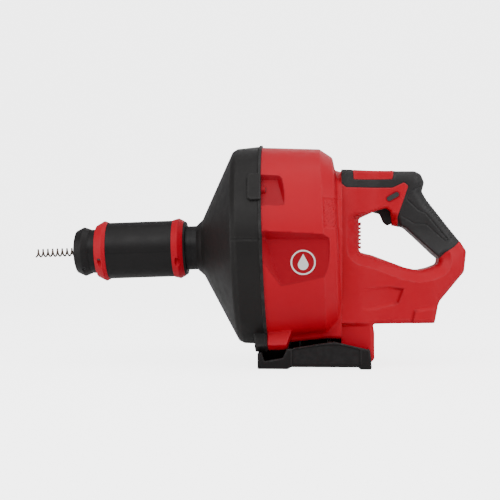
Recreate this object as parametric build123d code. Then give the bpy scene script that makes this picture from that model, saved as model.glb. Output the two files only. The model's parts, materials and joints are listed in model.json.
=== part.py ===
from build123d import *
import math
import os

os.makedirs("parts", exist_ok=True)

# Hand-held powered drain snake: a cable drum turned by a geared motor, a sliding feed sleeve
# round the outlet tube, and a D-handle with the trigger, the control module and a battery foot.
# X runs from the nose (-X) to the handle (+X), Z is up, and the tool stands on Z = 0.
# Everything that belongs to the drum is drawn along X about its own axis and tilted by in_place().
AXIS_HEIGHT = 158.8
TILT = 2.0
DRUM_FRAME = Location((0, 0, AXIS_HEIGHT), (0, -TILT, 0))
GAP = 0.3
RUNNING = 0.05
WALL = 3.0
MIN_Z = (Align.CENTER, Align.CENTER, Align.MIN)

# Nose, outlet tube and auger
NOSE_FRONT = -232.9
NOSE_BACK = -212.6
NOSE_RADIUS = 33.3
NOSE_BORE = 8.0
NOSE_SCREW_X = -219.0
TUBE_FRONT = -222.0
TUBE_BACK = -53.0
TUBE_RADIUS = 29.5
TUBE_BORE = 25.0
CABLE_RADIUS = 4.0
AUGER_TIP = -289.65
AUGER_WIRE = 0.95
AUGER_RADIUS = 4.8
AUGER_PITCH = 6.6

# Feed sleeve with its two rings, and the rollers that it presses on the cable
SLEEVE_FRONT = -203.3
SLEEVE_BACK = -81.7
BARREL_FRONT = -187.6
BARREL_BACK = -99.3
BARREL_RADIUS = 37.9
RING_SEAT = 33.5
RING_STOP = -202.0
RING_RADIUS = 40.7
SEAM_DROP = -4.0
ROLLER_X = -145.0
ROLLER_COUNT = 3
ROLLER_RADIUS = 6.0
ROLLER_LENGTH = 24.0
ROLLER_ORBIT = 12.3
CARRIER_WIDTH = 16.0
CARRIER_LENGTH = 38.6
RAMP_RADIUS = 33.0
RAMP_SLOPE = 1 / 6

# Shroud and drum housing
SHROUD_NECK = -66.8
SHROUD_SHOULDER = -58.7
SHOULDER_RADIUS = 37.8
CONE_END = -12.5
RIM_RADIUS = 131.0
FLANGE_RADIUS = 134.0
FLANGE_X = 25.5
HOUSING_REAR = 127.0
PARTING_X = 125.0
REAR_WALL = 3.0
BOSS_ANGLES = (33, 147, 243, 297)
BOSS_ORBIT = 124.5
LUG_FRONT = 9.0
LUG_BACK = 57.0
LUG_ORBIT = 150.0
KEEL_HALF_WIDTH = 50.0

# Cable drum
DRUM_RADIUS = 112.0
DRUM_FRONT_X = -49.0
DRUM_SPLIT_X = 12.0
DRUM_EAR_ORBIT = 114.6
DRUM_BACK_X = 60.0
DRUM_WALL = 2.5
COIL_TURNS = 5
COIL_LAYERS = 4
COIL_INNER = 76.0
COIL_START_X = 9.0

# Gear train: 12 to 60 teeth, then 12 to 80 teeth, 33.3 to 1 in all
PRESSURE_ANGLE = 25.0
PINION_TEETH = 12
LAY_GEAR_TEETH = 60
DRUM_GEAR_TEETH = 80
FAST_MODULE = 0.8
SLOW_MODULE = 1.25
BACKLASH = 0.16
SLOW_X = (80.0, 90.0)
FAST_X = (93.0, 99.0)
SLOW_CENTRE = SLOW_MODULE * (PINION_TEETH + DRUM_GEAR_TEETH) / 2
FAST_CENTRE = FAST_MODULE * (PINION_TEETH + LAY_GEAR_TEETH) / 2
LAY_Y = 24.0
LAY_Z = -math.sqrt(SLOW_CENTRE**2 - LAY_Y**2)
MOTOR_Z = LAY_Z - math.sqrt(FAST_CENTRE**2 - LAY_Y**2)
CASE_FRONT = 72.0
CASE_BACK = 112.0

# Motor
STATOR_X = (117.0, 146.0)
STATOR_RADIUS = 22.0
STATOR_BORE = 12.7
ROTOR_RADIUS = 12.2
FAN_X = (148.0, 154.0)
MOTOR_SHAFT_RADIUS = 2.5

# Bearings: bore radius, outer radius and width
DRUM_BEARING = (7.5, 16.0, 9.0)
LAY_BEARING = (4.0, 11.0, 7.0)
MOTOR_BEARING = (2.5, 8.0, 5.0)

# Handle
TOP_Z = 257.5
FOOT_Z = 58.0
BASE_FLOOR = 6.0
LEG_HALF_WIDTH = 48.0
LEG_X = 168.0
BODY_HALF_WIDTH = 58.0
ARM_HALF_WIDTH = 43.0
TOP_HALF_WIDTH = 27.0
GRIP_HALF_WIDTH = 19.5
SKIN = 2.5

# Trigger and direction button
TRIGGER_PIVOT = (172.0, 212.0)
TRIGGER_HALF_WIDTH = 6.0
BUTTON_AT = (193.2, 223.6)
BUTTON_SIZE = (17.0, 6.0)
BUTTON_TILT = 30.0

# Base stand
BASE_HALF_WIDTH = 70.0
BASE_WALL = 4.0


def save(name, *shapes):
    """Write one node, which may hold several separate solids."""
    solids = [solid for shape in shapes for solid in shape.solids()]
    if len(solids) == 1:
        export_step(solids[0], "parts/" + name + ".step")
    else:
        export_step(Compound(children=solids), "parts/" + name + ".step")


def in_place(shape):
    """Tilt a piece of the drum group into the tool's frame."""
    return DRUM_FRAME * shape


def closed_face(points, radii=None):
    """Face in a closed outline, each corner rounded as far as its two runs allow."""
    if radii is None:
        return make_face(Polyline(*points, close=True))
    allowed = []
    for index, radius in enumerate(radii):
        here = Vector(*points[index])
        before = here - Vector(*points[index - 1])
        after = Vector(*points[(index + 1) % len(points)]) - here
        half_turn = math.radians(before.get_angle(after)) / 2
        reach = 0.45 * min(before.length, after.length)
        allowed.append(min(radius, reach / math.tan(half_turn)))
    return make_face(FilletPolyline(*points, radius=allowed, close=True))


def turned(points, radii=None):
    """Solid of revolution about X from an outline of (x, radius) points."""
    return revolve(Plane.XZ * closed_face(points, radii), Axis.X)


def rod(start, end, radius, y=0.0, z=0.0):
    """Cylinder along X from start to end."""
    return Pos(start, y, z) * Rot(0, 90, 0) * Cylinder(radius, end - start, align=MIN_Z)


def tube(start, end, radius, bore, y=0.0, z=0.0):
    """Hollow cylinder along X."""
    return rod(start, end, radius, y, z) - rod(start - 1, end + 1, bore, y, z)


def block(x, y, z):
    """Box from three (low, high) pairs."""
    centre = ((x[0] + x[1]) / 2, (y[0] + y[1]) / 2, (z[0] + z[1]) / 2)
    return Pos(*centre) * Box(x[1] - x[0], y[1] - y[0], z[1] - z[0])


def around(shape, angles):
    """Copies of a piece drawn on the +Y side, turned about X to each angle."""
    return [Rot(angle, 0, 0) * shape for angle in angles]


def cut_all(body, tools):
    """Take several tools away from a body."""
    for tool in tools:
        body = body - tool
    return body


def join_all(body, pieces):
    """Add several pieces to a body."""
    for piece in pieces:
        body = body + piece
    return body


def side_plate(points, low_y, high_y, radii=None):
    """Plate with an outline of (x, z) points, from low_y to high_y."""
    face = Plane.XZ * closed_face(points, radii)
    return Pos(0, low_y, 0) * extrude(face, amount=high_y - low_y, dir=(0, 1, 0))


def screw(length, radius=1.8, head=3.6, head_height=2.4):
    """Screw along +X, its head at the start, with a hexagonal socket."""
    body = rod(0, head_height, head) + rod(head_height, length, radius)
    socket = Rot(0, 90, 0) * extrude(RegularPolygon(head * 0.5, 6), head_height * 0.6)
    return body - socket


# Gears
def involute(angle):
    return math.tan(angle) - angle


def gear_outline(teeth, module, phase):
    """Outline of a spur gear with a tooth centred at the phase angle from +Y."""
    pitch = module * teeth / 2
    base = pitch * math.cos(math.radians(PRESSURE_ANGLE))
    root = pitch - 1.25 * module
    tip = pitch + 0.95 * module
    at_pitch = math.pi / (2 * teeth) - BACKLASH / (2 * pitch)
    start = max(base, root)
    flank = []
    for step in range(5):
        radius = start + (tip - start) * step / 4
        rolled = math.acos(min(1.0, base / radius))
        half = at_pitch + involute(math.radians(PRESSURE_ANGLE)) - involute(rolled)
        flank.append((radius, half))
    if root < base:
        flank.insert(0, (root, flank[0][1]))
    points = []
    for tooth in range(teeth):
        middle = math.radians(phase) + 2 * math.pi * tooth / teeth
        side = [(radius, middle - half) for radius, half in flank]
        side += [(radius, middle + half) for radius, half in reversed(flank)]
        points += [(r * math.cos(a), r * math.sin(a)) for r, a in side]
    return points


def gear(teeth, module, span, phase, y=0.0, z=0.0, hole=0.0):
    """Spur gear along X at (y, z), with an optional round hole."""
    face = make_face(Polyline(*gear_outline(teeth, module, phase), close=True))
    if hole > 0:
        face = face - Circle(hole)
    placed = Plane.YZ * face
    return Pos(span[0], y, z) * extrude(placed, amount=span[1] - span[0], dir=(1, 0, 0))


def direction(y, z):
    """Angle from +Y towards +Z, in degrees."""
    return math.degrees(math.atan2(z, y))


def bearing(size, start, y=0.0, z=0.0):
    """Sealed ball bearing along X with a shallow groove in each face."""
    bore, outer, width = size
    race = 0.28 * (outer - bore)
    body = tube(start, start + width, outer, bore, y, z)
    groove = tube(start - 0.6, start + 0.6, outer - race, bore + race, y, z)
    back = Pos(width, 0, 0) * groove
    return body - groove - back


# Nose and outlet tube
def nose_collar():
    outline = [
        (NOSE_FRONT, NOSE_BORE + 1.5), (NOSE_FRONT, 23.5), (-231.2, 28.4), (-221.0, NOSE_RADIUS),
        (-213.8, 30.6), (NOSE_BACK, 30.3), (NOSE_BACK, TUBE_RADIUS), (TUBE_FRONT, TUBE_RADIUS),
        (TUBE_FRONT, NOSE_BORE), (NOSE_FRONT + 1.5, NOSE_BORE),
    ]
    collar = turned(outline, [0, 3, 3, 1.5, 1, 0.3, 0, 0, 0, 0])
    hole = Pos(NOSE_SCREW_X, 30.2, 0) * Rot(-90, 0, 0) * Cylinder(3.0, 10, align=MIN_Z)
    through = Pos(NOSE_SCREW_X, 24, 0) * Rot(-90, 0, 0) * Cylinder(1.3, 10, align=MIN_Z)
    return cut_all(collar, around(hole, nose_screw_angles()) + around(through, nose_screw_angles()))


def nose_screw_angles():
    return (225, 315, 90)


def nose_screws():
    """Three radial screws, each at the bottom of its hole in the collar."""
    one = Pos(NOSE_SCREW_X, 32.0, 0) * Rot(0, 0, -90) * screw(6.5, 1.2, 2.6, 1.8)
    return around(one, nose_screw_angles())


def feed_tube():
    """Outlet tube with three windows for the carriers and a flange inside the shroud."""
    outline = [
        (TUBE_FRONT, TUBE_BORE), (TUBE_FRONT, TUBE_RADIUS), (-55.0, TUBE_RADIUS), (-55.0, 33.0),
        (TUBE_BACK, 33.0), (TUBE_BACK, TUBE_BORE),
    ]
    body = turned(outline)
    window = block((ROLLER_X - 6.2, ROLLER_X + 6.2), (20, 35), (-4, 4))
    hole = Pos(NOSE_SCREW_X, 24, 0) * Rot(-90, 0, 0) * Cylinder(1.3, 10, align=MIN_Z)
    body = cut_all(body, around(window, roller_angles()) + around(hole, nose_screw_angles()))
    return body - tube(-74.6, -73.4, TUBE_RADIUS + 1, TUBE_RADIUS - 0.6)


def roller_angles():
    return [90 + 360 * index / ROLLER_COUNT for index in range(ROLLER_COUNT)]


def roller_guide():
    """Liner inside the outlet tube with a radial slot for each carrier."""
    half = CARRIER_LENGTH / 2
    body = tube(ROLLER_X - half - 6, ROLLER_X + half + 6, TUBE_BORE, 9.0)
    side = CARRIER_WIDTH / 2 + GAP
    slot = block((ROLLER_X - half - GAP, ROLLER_X + half + GAP), (2, 40), (-side, side))
    return cut_all(body, around(slot, roller_angles()))


def roller_carrier():
    """Fork for one roller, with a follower that reaches the sleeve's ramp."""
    half = CARRIER_LENGTH / 2
    side = CARRIER_WIDTH / 2
    body = block((ROLLER_X - half, ROLLER_X + half), (10.0, 22.5), (-side, side))
    body = body + block((ROLLER_X - 5, ROLLER_X + 5), (22.0, 31.7), (-3, 3))
    pocket = ROLLER_RADIUS + 0.5
    length = ROLLER_LENGTH / 2 + GAP
    body = body - block((ROLLER_X - length, ROLLER_X + length), (8, ROLLER_ORBIT + pocket), (-pocket, pocket))
    return body - rod(ROLLER_X - half - 1, ROLLER_X + half + 1, 2.0 + RUNNING, ROLLER_ORBIT)


def feed_roller():
    """Grooved roller with its axle."""
    half = ROLLER_LENGTH / 2
    body = rod(ROLLER_X - half, ROLLER_X + half, ROLLER_RADIUS, ROLLER_ORBIT)
    axle = rod(ROLLER_X - CARRIER_LENGTH / 2, ROLLER_X + CARRIER_LENGTH / 2, 2.0, ROLLER_ORBIT)
    grooves = []
    for index in range(5):
        x = ROLLER_X + (index - 2) * 4.2
        ring = tube(x - 0.6, x + 0.6, ROLLER_RADIUS + 1, ROLLER_RADIUS - 0.5, ROLLER_ORBIT)
        grooves.append(ring)
    return cut_all(body + axle, grooves)


# Feed sleeve
def sleeve_body():
    ramp_low = ROLLER_X - 18
    ramp_high = ROLLER_X + 10
    low_radius = RAMP_RADIUS - 18 * RAMP_SLOPE
    high_radius = RAMP_RADIUS + 10 * RAMP_SLOPE
    bush = TUBE_RADIUS + GAP
    outer = [
        (RING_STOP, bush), (RING_STOP, RING_SEAT), (BARREL_FRONT, RING_SEAT), (BARREL_FRONT, BARREL_RADIUS),
        (BARREL_BACK, BARREL_RADIUS), (BARREL_BACK, RING_SEAT), (-84.2, RING_SEAT), (-84.2, 36.4),
        (SLEEVE_BACK, 35.6), (SLEEVE_BACK, bush),
    ]
    inner = [
        (-101.0, bush), (-101.0, 34.6), (ramp_high, high_radius),
        (ramp_low, low_radius), (ramp_low, 34.6), (-186.0, 34.6), (-186.0, bush),
    ]
    return turned(outer + inner)


def front_ring_body():
    outline = [
        (SLEEVE_FRONT, TUBE_RADIUS + 0.7), (SLEEVE_FRONT, 34.8), (-192.4, RING_RADIUS),
        (BARREL_FRONT, 38.6), (BARREL_FRONT, RING_SEAT), (RING_STOP, RING_SEAT), (RING_STOP, TUBE_RADIUS + 0.7),
    ]
    return turned(outline, [0, 1.0, 0.8, 0.5, 0, 0, 0])


def rear_ring_body():
    outline = [
        (BARREL_BACK, RING_SEAT), (BARREL_BACK, 38.6), (-91.1, RING_RADIUS),
        (-84.2, 37.0), (-84.2, RING_SEAT),
    ]
    return turned(outline, [0, 0.5, 0.8, 0.5, 0])


def ring_screw_places():
    return [(x, y) for x in (-195.2, -92.0) for y in (-35.3, 35.3)]


def ring_screw_holes():
    holes = []
    for x, y in ring_screw_places():
        holes.append(Pos(x, y, -45) * Cylinder(3.2, 34.8, align=MIN_Z))
        holes.append(Pos(x, y, -11) * Cylinder(1.25, 22, align=MIN_Z))
    return holes


def ring_screws():
    upright = Rot(0, -90, 0) * screw(21.0, 1.2, 2.6, 2.0)
    return [Pos(x, y, -12.25) * upright for x, y in ring_screw_places()]


def halves(body):
    """Upper and lower halves, parted a little below the axis."""
    keep = block((-300, 0), (-60, 60), (SEAM_DROP, 60))
    return body & keep, body - keep


# Shroud and drum housing
def front_shroud():
    cone = [
        (SHROUD_NECK, TUBE_RADIUS), (SHROUD_NECK, 30.6), (SHROUD_SHOULDER, SHOULDER_RADIUS),
        (CONE_END - 1.5, 127.0), (-7.5, RIM_RADIUS - 0.5), (FLANGE_X - 4.0, FLANGE_RADIUS - 1.5),
        (FLANGE_X - 3.2, FLANGE_RADIUS), (FLANGE_X, FLANGE_RADIUS),
        (FLANGE_X, FLANGE_RADIUS - 5.5), (-6.5, RIM_RADIUS - 4.0), (-11.0, 123.5),
        (-55.0, 36.6), (-55.0, TUBE_RADIUS),
    ]
    radii = [0, 1, 6, 9, 5, 0.3, 0.5, 0.5, 0, 4, 7, 2, 0]
    body = turned(cone, radii)
    pad = block((8.5, FLANGE_X), (126.5, FLANGE_RADIUS + 1.8), (-20, 20))
    pad = fillet(pad.edges().filter_by(Axis.Y), 4.0)
    pad = fillet(pad.faces().sort_by(Axis.Y)[-1].edges(), 1.2)
    body = join_all(body, around(pad, BOSS_ANGLES[:2]))
    lug = block((LUG_FRONT, FLANGE_X), (120.0, LUG_ORBIT), (-10, 10))
    lug = fillet(lug.edges().filter_by(Axis.Y), 2.5)
    lug = fillet(lug.faces().sort_by(Axis.Y)[-1].edges(), 1.2)
    body = join_all(body, around(lug, BOSS_ANGLES[2:]))
    post = rod(2.0, FLANGE_X, 5.0, BOSS_ORBIT)
    body = join_all(body, around(post, BOSS_ANGLES))
    hole = rod(6.0, 40.0, 1.9, BOSS_ORBIT)
    return cut_all(body, around(hole, BOSS_ANGLES))


def housing_skin(inset, front, rear_stop):
    """Bell round the drum, moved inwards by inset and cut by the upright parting plane."""
    outline = [
        (front, 0), (front, RIM_RADIUS - inset), (101.0 - inset * 0.3, 126.0 - inset),
        (118.0 - inset * 0.7, 114.0 - inset * 0.7), (121.0 - inset, 97.0), (HOUSING_REAR + 10 - inset, 90.0),
        (HOUSING_REAR + 10 - inset, 0),
    ]
    bell = in_place(turned(outline, [0, 0, 14, 8, 4, 0, 0]))
    return bell & block((-50, rear_stop), (-150, 150), (-20, 320))


def housing_keel():
    """Flat-sided part under the bell that rests on the base stand."""
    side = [(44.0, 34.0), (60.0, 33.0), (108.0, 38.5), (PARTING_X, 38.5), (PARTING_X, 80.0), (44.0, 80.0)]
    return side_plate(side, -KEEL_HALF_WIDTH, KEEL_HALF_WIDTH, [4, 6, 3, 0, 0, 0])


def badge_pocket(side):
    """Sloping-sided recess for the badge, on the side -1 or +1."""
    outline = [
        (30.5, 166.5), (107.0, 166.5), (107.0, 124.5), (113.5, 121.0),
        (113.5, 116.0), (84.0, 110.5), (84.0, 113.0), (52.0, 99.0),
    ]
    floor = 119.0
    face = Plane.XZ * make_face(Polyline(*outline, close=True))
    tool = extrude(face, amount=40, dir=(0, -1, 0), taper=-22)
    tool = Pos(0, -floor, 0) * tool
    return tool if side < 0 else mirror(tool, Plane.XZ)


def drum_housing():
    """Bell with a rear wall, thick where the badge recesses and the screw pockets are cut."""
    cavity = housing_skin(WALL, FLANGE_X - 5, PARTING_X - REAR_WALL)
    cavity = cut_all(cavity, [badge_backing()] + pocket_walls())
    body = housing_skin(0, FLANGE_X, PARTING_X) + housing_keel() - cavity
    body = body - badge_pocket(-1) - badge_pocket(1)
    body = cut_all(body, screw_pockets())
    lug = block((FLANGE_X - 1, LUG_BACK), (118.0, LUG_ORBIT - 1.5), (-9.0, 9.0))
    lug = fillet(lug.edges().filter_by(Axis.Y), 2.0)
    lug = lug & block((FLANGE_X, 60), (110, 150), (-20, 20))
    body = join_all(body, [in_place(piece) for piece in around(lug, BOSS_ANGLES[2:])])
    hole = rod(FLANGE_X - 2, 60.0, 2.1, BOSS_ORBIT)
    body = cut_all(body, [in_place(piece) for piece in around(hole, BOSS_ANGLES)])
    head_room = rod(FLANGE_X + 4, LUG_BACK + 2, 4.1, BOSS_ORBIT)
    body = cut_all(body, [in_place(piece) for piece in around(head_room, BOSS_ANGLES[2:])])
    window = block((PARTING_X - 8, PARTING_X + 8), (-44, 44), (BASE_FLOOR + 60, 236))
    return body - window


def badge_backing():
    """Space where the housing is thick enough to hold the badge recesses."""
    return block((28, 117), (-150, -115.5), (94, 172)) + block((28, 117), (115.5, 150), (94, 172))


def pocket_walls():
    """Floor and rear wall left standing round each upper screw pocket."""
    wall = block((FLANGE_X - 6, 47.0), (117.5, 150), (-22, 22))
    return [in_place(piece) for piece in around(wall, BOSS_ANGLES[:2])]


def screw_pockets():
    """Upper screw pockets, open outwards, with an ear of the housing left in front."""
    pocket = block((29.5, 44.0), (119.5, 150), (-19, 19))
    face = block((FLANGE_X - 1, 30.0), (130.0, 150), (-19, 19))
    return [in_place(piece) for piece in around(pocket + face, BOSS_ANGLES[:2])]


def shroud_screws():
    one = Pos(FLANGE_X + 6.4, BOSS_ORBIT, 0) * Rot(0, 180, 0) * screw(20.0)
    return around(one, BOSS_ANGLES[:2]) + around(one, BOSS_ANGLES[2:])



# Cable drum and its shaft
def drum_shells():
    """Front and rear shells of the cable drum, joined at a flange."""
    outline = [
        (DRUM_FRONT_X, 20.0), (DRUM_FRONT_X, 37.0), (-11.0, DRUM_RADIUS - 1), (0.0, DRUM_RADIUS),
        (DRUM_BACK_X, DRUM_RADIUS), (DRUM_BACK_X, 8.0), (DRUM_BACK_X - DRUM_WALL, 8.0),
        (DRUM_BACK_X - DRUM_WALL, DRUM_RADIUS - DRUM_WALL), (1.0, DRUM_RADIUS - DRUM_WALL),
        (-8.5, DRUM_RADIUS - 4), (DRUM_FRONT_X + 3, 37.0), (DRUM_FRONT_X + 3, 20.0),
    ]
    skin = turned(outline, [0, 2, 8, 4, 6, 0, 0, 4, 3, 6, 1, 0])
    lip = tube(DRUM_SPLIT_X - 2, DRUM_SPLIT_X + 2, DRUM_RADIUS + 3.0, DRUM_RADIUS - DRUM_WALL)
    body = skin + lip
    ear = rod(DRUM_SPLIT_X - 6, DRUM_SPLIT_X + 6, 3.4, DRUM_EAR_ORBIT)
    body = join_all(body, around(ear, drum_screw_angles()))
    hole = rod(DRUM_SPLIT_X - 8, DRUM_SPLIT_X + 8, 1.5, DRUM_EAR_ORBIT)
    body = cut_all(body, around(hole, drum_screw_angles()))
    fixing = rod(DRUM_BACK_X - 5, DRUM_BACK_X + 1, 1.5, 15.0)
    body = cut_all(body, around(fixing, drum_screw_angles()))
    front_half = block((-80, DRUM_SPLIT_X), (-130, 130), (-130, 130))
    return body & front_half, body - front_half


def drum_screw_angles():
    return [60 * index for index in range(6)]


def drum_screws():
    """Six screws in the drum's flange and six that hold it to the shaft flange."""
    rim = Pos(DRUM_SPLIT_X + 8.0, DRUM_EAR_ORBIT, 0) * Rot(0, 180, 0) * screw(12.0, 1.4, 2.4, 2.0)
    hub = Pos(DRUM_BACK_X - DRUM_WALL - 1.8, 15.0, 0) * screw(8.0, 1.4, 2.4, 1.8)
    return around(rim, drum_screw_angles()) + around(hub, drum_screw_angles())


def drum_shaft():
    flange = rod(DRUM_BACK_X, DRUM_BACK_X + 4, 20.0)
    shaft = rod(DRUM_BACK_X + 4, CASE_BACK - 4 - GAP, DRUM_BEARING[0] - RUNNING)
    spigot = rod(DRUM_BACK_X - DRUM_WALL, DRUM_BACK_X, 7.9)
    hole = rod(DRUM_BACK_X - 1, DRUM_BACK_X + 5, 1.5, 15.0)
    return cut_all(flange + shaft + spigot, around(hole, drum_screw_angles()))


def drum_gear():
    rim = gear(DRUM_GEAR_TEETH, SLOW_MODULE, SLOW_X, direction(LAY_Y, LAY_Z), hole=43.0)
    hub = rod(SLOW_X[0] - 1.5, SLOW_X[1] + 1.5, 13.0) + rod(SLOW_X[0] + 3, SLOW_X[1] - 3, 43.0)
    light = rod(SLOW_X[0] - 3, SLOW_X[1] + 3, 7.0, 30.0)
    hub = cut_all(hub, around(light, drum_screw_angles()))
    return rim + (hub - rod(SLOW_X[0] - 3, SLOW_X[1] + 3, DRUM_BEARING[0] - RUNNING))


def cable_guide():
    """Bent tube that lays the cable on the drum, fixed to the drum's front shell."""
    path = FilletPolyline((-62, 0, 0), (-8, 0, 0), (20, -46, 0), radius=30)
    outer = sweep(Plane(origin=path @ 0, z_dir=path % 0) * Circle(7.0), path=path)
    inner = sweep(Plane(origin=path @ 0, z_dir=path % 0) * Circle(5.0), path=path)
    plate = tube(DRUM_FRONT_X - 3, DRUM_FRONT_X, 27.0, 6.9)
    hub = tube(DRUM_FRONT_X - 0.01, DRUM_FRONT_X + 3, 19.9, 6.9)
    return (outer + plate + hub) - inner


def cable_coil():
    """Wound turns of the steel cable in the drum, as one bundle, with its tail to the guide."""
    face = None
    for layer in range(COIL_LAYERS):
        for turn in range(COIL_TURNS):
            x = COIL_START_X + 8.2 * turn + (4.0 if layer % 2 else 0.0)
            radius = COIL_INNER + CABLE_RADIUS + 7.2 * layer
            disc = Pos(x, radius) * Circle(CABLE_RADIUS)
            face = disc if face is None else face + disc
    middle = COIL_START_X + 4.1 * COIL_TURNS - 2.1
    core = Rectangle(8.2 * COIL_TURNS - 6, 7.2 * COIL_LAYERS - 4)
    face = face + Pos(middle, COIL_INNER + 3.6 * COIL_LAYERS) * core
    bundle = revolve(Plane.XZ * face, Axis.X)
    path = FilletPolyline((19.0, -44.4, 0), (34, -69, 0), (31, -78, 0), radius=12)
    tail = sweep(Plane(origin=path @ 0, z_dir=path % 0) * Circle(CABLE_RADIUS), path=path)
    return bundle + tail


def cable_lead():
    """Straight end of the cable, from the guide to the nose."""
    return rod(-228.0, -47.0, CABLE_RADIUS)


def auger_tip():
    """Open steel helix on a plug that is crimped to the end of the cable."""
    length = NOSE_FRONT + 4 - AUGER_TIP
    helix = Helix(pitch=AUGER_PITCH, height=length, radius=AUGER_RADIUS, direction=(0, 0, 1))
    section = Plane(origin=helix @ 0, z_dir=helix % 0) * Circle(AUGER_WIRE)
    coil = sweep(section, path=helix, is_frenet=True)
    coil = Pos(AUGER_TIP, 0, 0) * Rot(0, 90, 0) * coil
    plug = rod(NOSE_FRONT - 1.0, -228.0, AUGER_RADIUS - AUGER_WIRE - 0.05)
    return [coil, plug]


# Gear case and layshaft
def case_outline(inset):
    """Outline in Y and Z round both gears and the motor pinion."""
    discs = [(0.0, 0.0, 56.0), (LAY_Y, LAY_Z, 29.0), (0.0, MOTOR_Z, 15.0), (-LAY_Y, LAY_Z, 20.0)]
    edges = []
    for y, z, radius in discs:
        edges += (Pos(y, z) * Circle(radius - inset)).edges()
    return make_hull(edges)


def case_solid(start, end, inset):
    return Pos(start, 0, 0) * extrude(Plane.YZ * case_outline(inset), amount=end - start, dir=(1, 0, 0))


def case_screw_places():
    return ((52.0, 26.0), (-52.0, 26.0), (-50.0, -30.0), (0.0, 58.5), (55.0, -20.0), (-11.0, -83.0))


def gear_case():
    """Cup that holds the rear bearings and stands on four posts against the housing."""
    body = case_solid(CASE_FRONT + 4, CASE_BACK, 0) - case_solid(CASE_FRONT + 3, CASE_BACK - 4, 3.0)
    body = body + tube(CASE_BACK - 13, CASE_BACK - 3, 19.5, 16.0)
    body = body + tube(CASE_BACK - 12, CASE_BACK - 3, 14.0, 11.0, LAY_Y, LAY_Z)
    body = body + rod(CASE_BACK - 1, CASE_BACK + 3.5, 11.0, 0, MOTOR_Z)
    body = body - rod(CASE_BACK - 13, CASE_BACK - 3, DRUM_BEARING[1])
    body = body - rod(CASE_BACK - 12, CASE_BACK - 4, LAY_BEARING[1], LAY_Y, LAY_Z)
    body = body - rod(CASE_BACK - 2, CASE_BACK + 4, MOTOR_BEARING[1], 0, MOTOR_Z)
    body = body - rod(CASE_BACK - 6, CASE_BACK, 5.5, 0, MOTOR_Z)
    ears = [rod(CASE_FRONT + 4, CASE_BACK, 5.0, y, z) for y, z in case_screw_places()]
    body = join_all(body, ears)
    posts = [rod(CASE_BACK - 6, 135.0, 6.0, y, z) for y, z in post_places()]
    body = join_all(body, posts)
    holes = [rod(CASE_FRONT, CASE_FRONT + 20, 1.6, y, z) for y, z in case_screw_places()]
    holes += [rod(CASE_BACK, 140.0, 1.6, y, z) for y, z in post_places()]
    room = case_solid(CASE_FRONT + 3, CASE_BACK - 4.01, 3.0)
    keep = tube(CASE_BACK - 13, CASE_BACK, 19.5, 16.0) + tube(CASE_BACK - 12, CASE_BACK, 14, 11, LAY_Y, LAY_Z)
    body = body - (cut_all(room, [keep]) & around_ears())
    return cut_all(body, holes)


def around_ears():
    """Spaces where a screw ear would reach into the gears' room."""
    ears = [rod(CASE_FRONT, CASE_BACK - 4, 5.2, y, z) for y, z in case_screw_places()]
    return join_all(ears[0], ears[1:])


def post_places():
    return ((50.0, 20.0), (-50.0, 20.0), (46.0, -54.0), (-36.0, -60.0))


def gear_case_cover():
    body = case_solid(CASE_FRONT, CASE_FRONT + 4, 0)
    body = join_all(body, [rod(CASE_FRONT, CASE_FRONT + 4, 5.0, y, z) for y, z in case_screw_places()])
    body = body + rod(CASE_FRONT - 6, CASE_FRONT + 4, 20.0)
    body = body + rod(CASE_FRONT - 4, CASE_FRONT + 4, 14.5, LAY_Y, LAY_Z)
    body = body - rod(CASE_FRONT - 5, CASE_FRONT + 5, DRUM_BEARING[1])
    body = body - rod(CASE_FRONT - 7, CASE_FRONT, 10.0)
    body = body - rod(CASE_FRONT - 3, CASE_FRONT + 5, LAY_BEARING[1], LAY_Y, LAY_Z)
    holes = [rod(CASE_FRONT - 1, CASE_FRONT + 6, 1.6, y, z) for y, z in case_screw_places()]
    return cut_all(body, holes)


def gear_case_screws():
    one = screw(16.0, 1.55, 2.9, 2.4)
    return [Pos(CASE_FRONT - 2.4, y, z) * one for y, z in case_screw_places()]


def drum_bearings():
    return [bearing(DRUM_BEARING, CASE_FRONT - 5), bearing(DRUM_BEARING, CASE_BACK - 13)]


def lay_bearings():
    front = bearing(LAY_BEARING, CASE_FRONT - 3, LAY_Y, LAY_Z)
    return [front, bearing(LAY_BEARING, CASE_BACK - 12, LAY_Y, LAY_Z)]


def layshaft():
    """Shaft with the slow pinion cut on it."""
    phase = direction(-LAY_Y, -LAY_Z) + 180 / PINION_TEETH
    body = gear(PINION_TEETH, SLOW_MODULE, (SLOW_X[0] - 0.5, SLOW_X[1] + 0.5), phase, LAY_Y, LAY_Z)
    return body + rod(CASE_FRONT - 2.5, CASE_BACK - 5.5, LAY_BEARING[0] - RUNNING, LAY_Y, LAY_Z)


def layshaft_gear():
    phase = direction(-LAY_Y, MOTOR_Z - LAY_Z)
    body = gear(LAY_GEAR_TEETH, FAST_MODULE, FAST_X, phase, LAY_Y, LAY_Z)
    web = tube(FAST_X[0] - 1, FAST_X[0] + 1.8, 20.0, 8.0, LAY_Y, LAY_Z)
    return body - web - rod(FAST_X[0] - 1, FAST_X[1] + 1, LAY_BEARING[0] - RUNNING, LAY_Y, LAY_Z)


# Motor
def motor_stator():
    """Laminated ring with six poles and a coil on each."""
    start, end = STATOR_X
    body = tube(start + 4, end - 4, STATOR_RADIUS, STATOR_RADIUS - 3.2, 0, MOTOR_Z)
    pole = block((start + 4, end - 4), (STATOR_BORE, STATOR_RADIUS - 3), (-2.2, 2.2))
    shoe = block((start + 4, end - 4), (STATOR_BORE, STATOR_BORE + 1.6), (-5.2, 5.2))
    poles = around(pole + shoe, drum_screw_angles())
    body = join_all(body, [Pos(0, 0, MOTOR_Z) * piece for piece in poles])
    return body - rod(start, end, STATOR_BORE, 0, MOTOR_Z)


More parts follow.
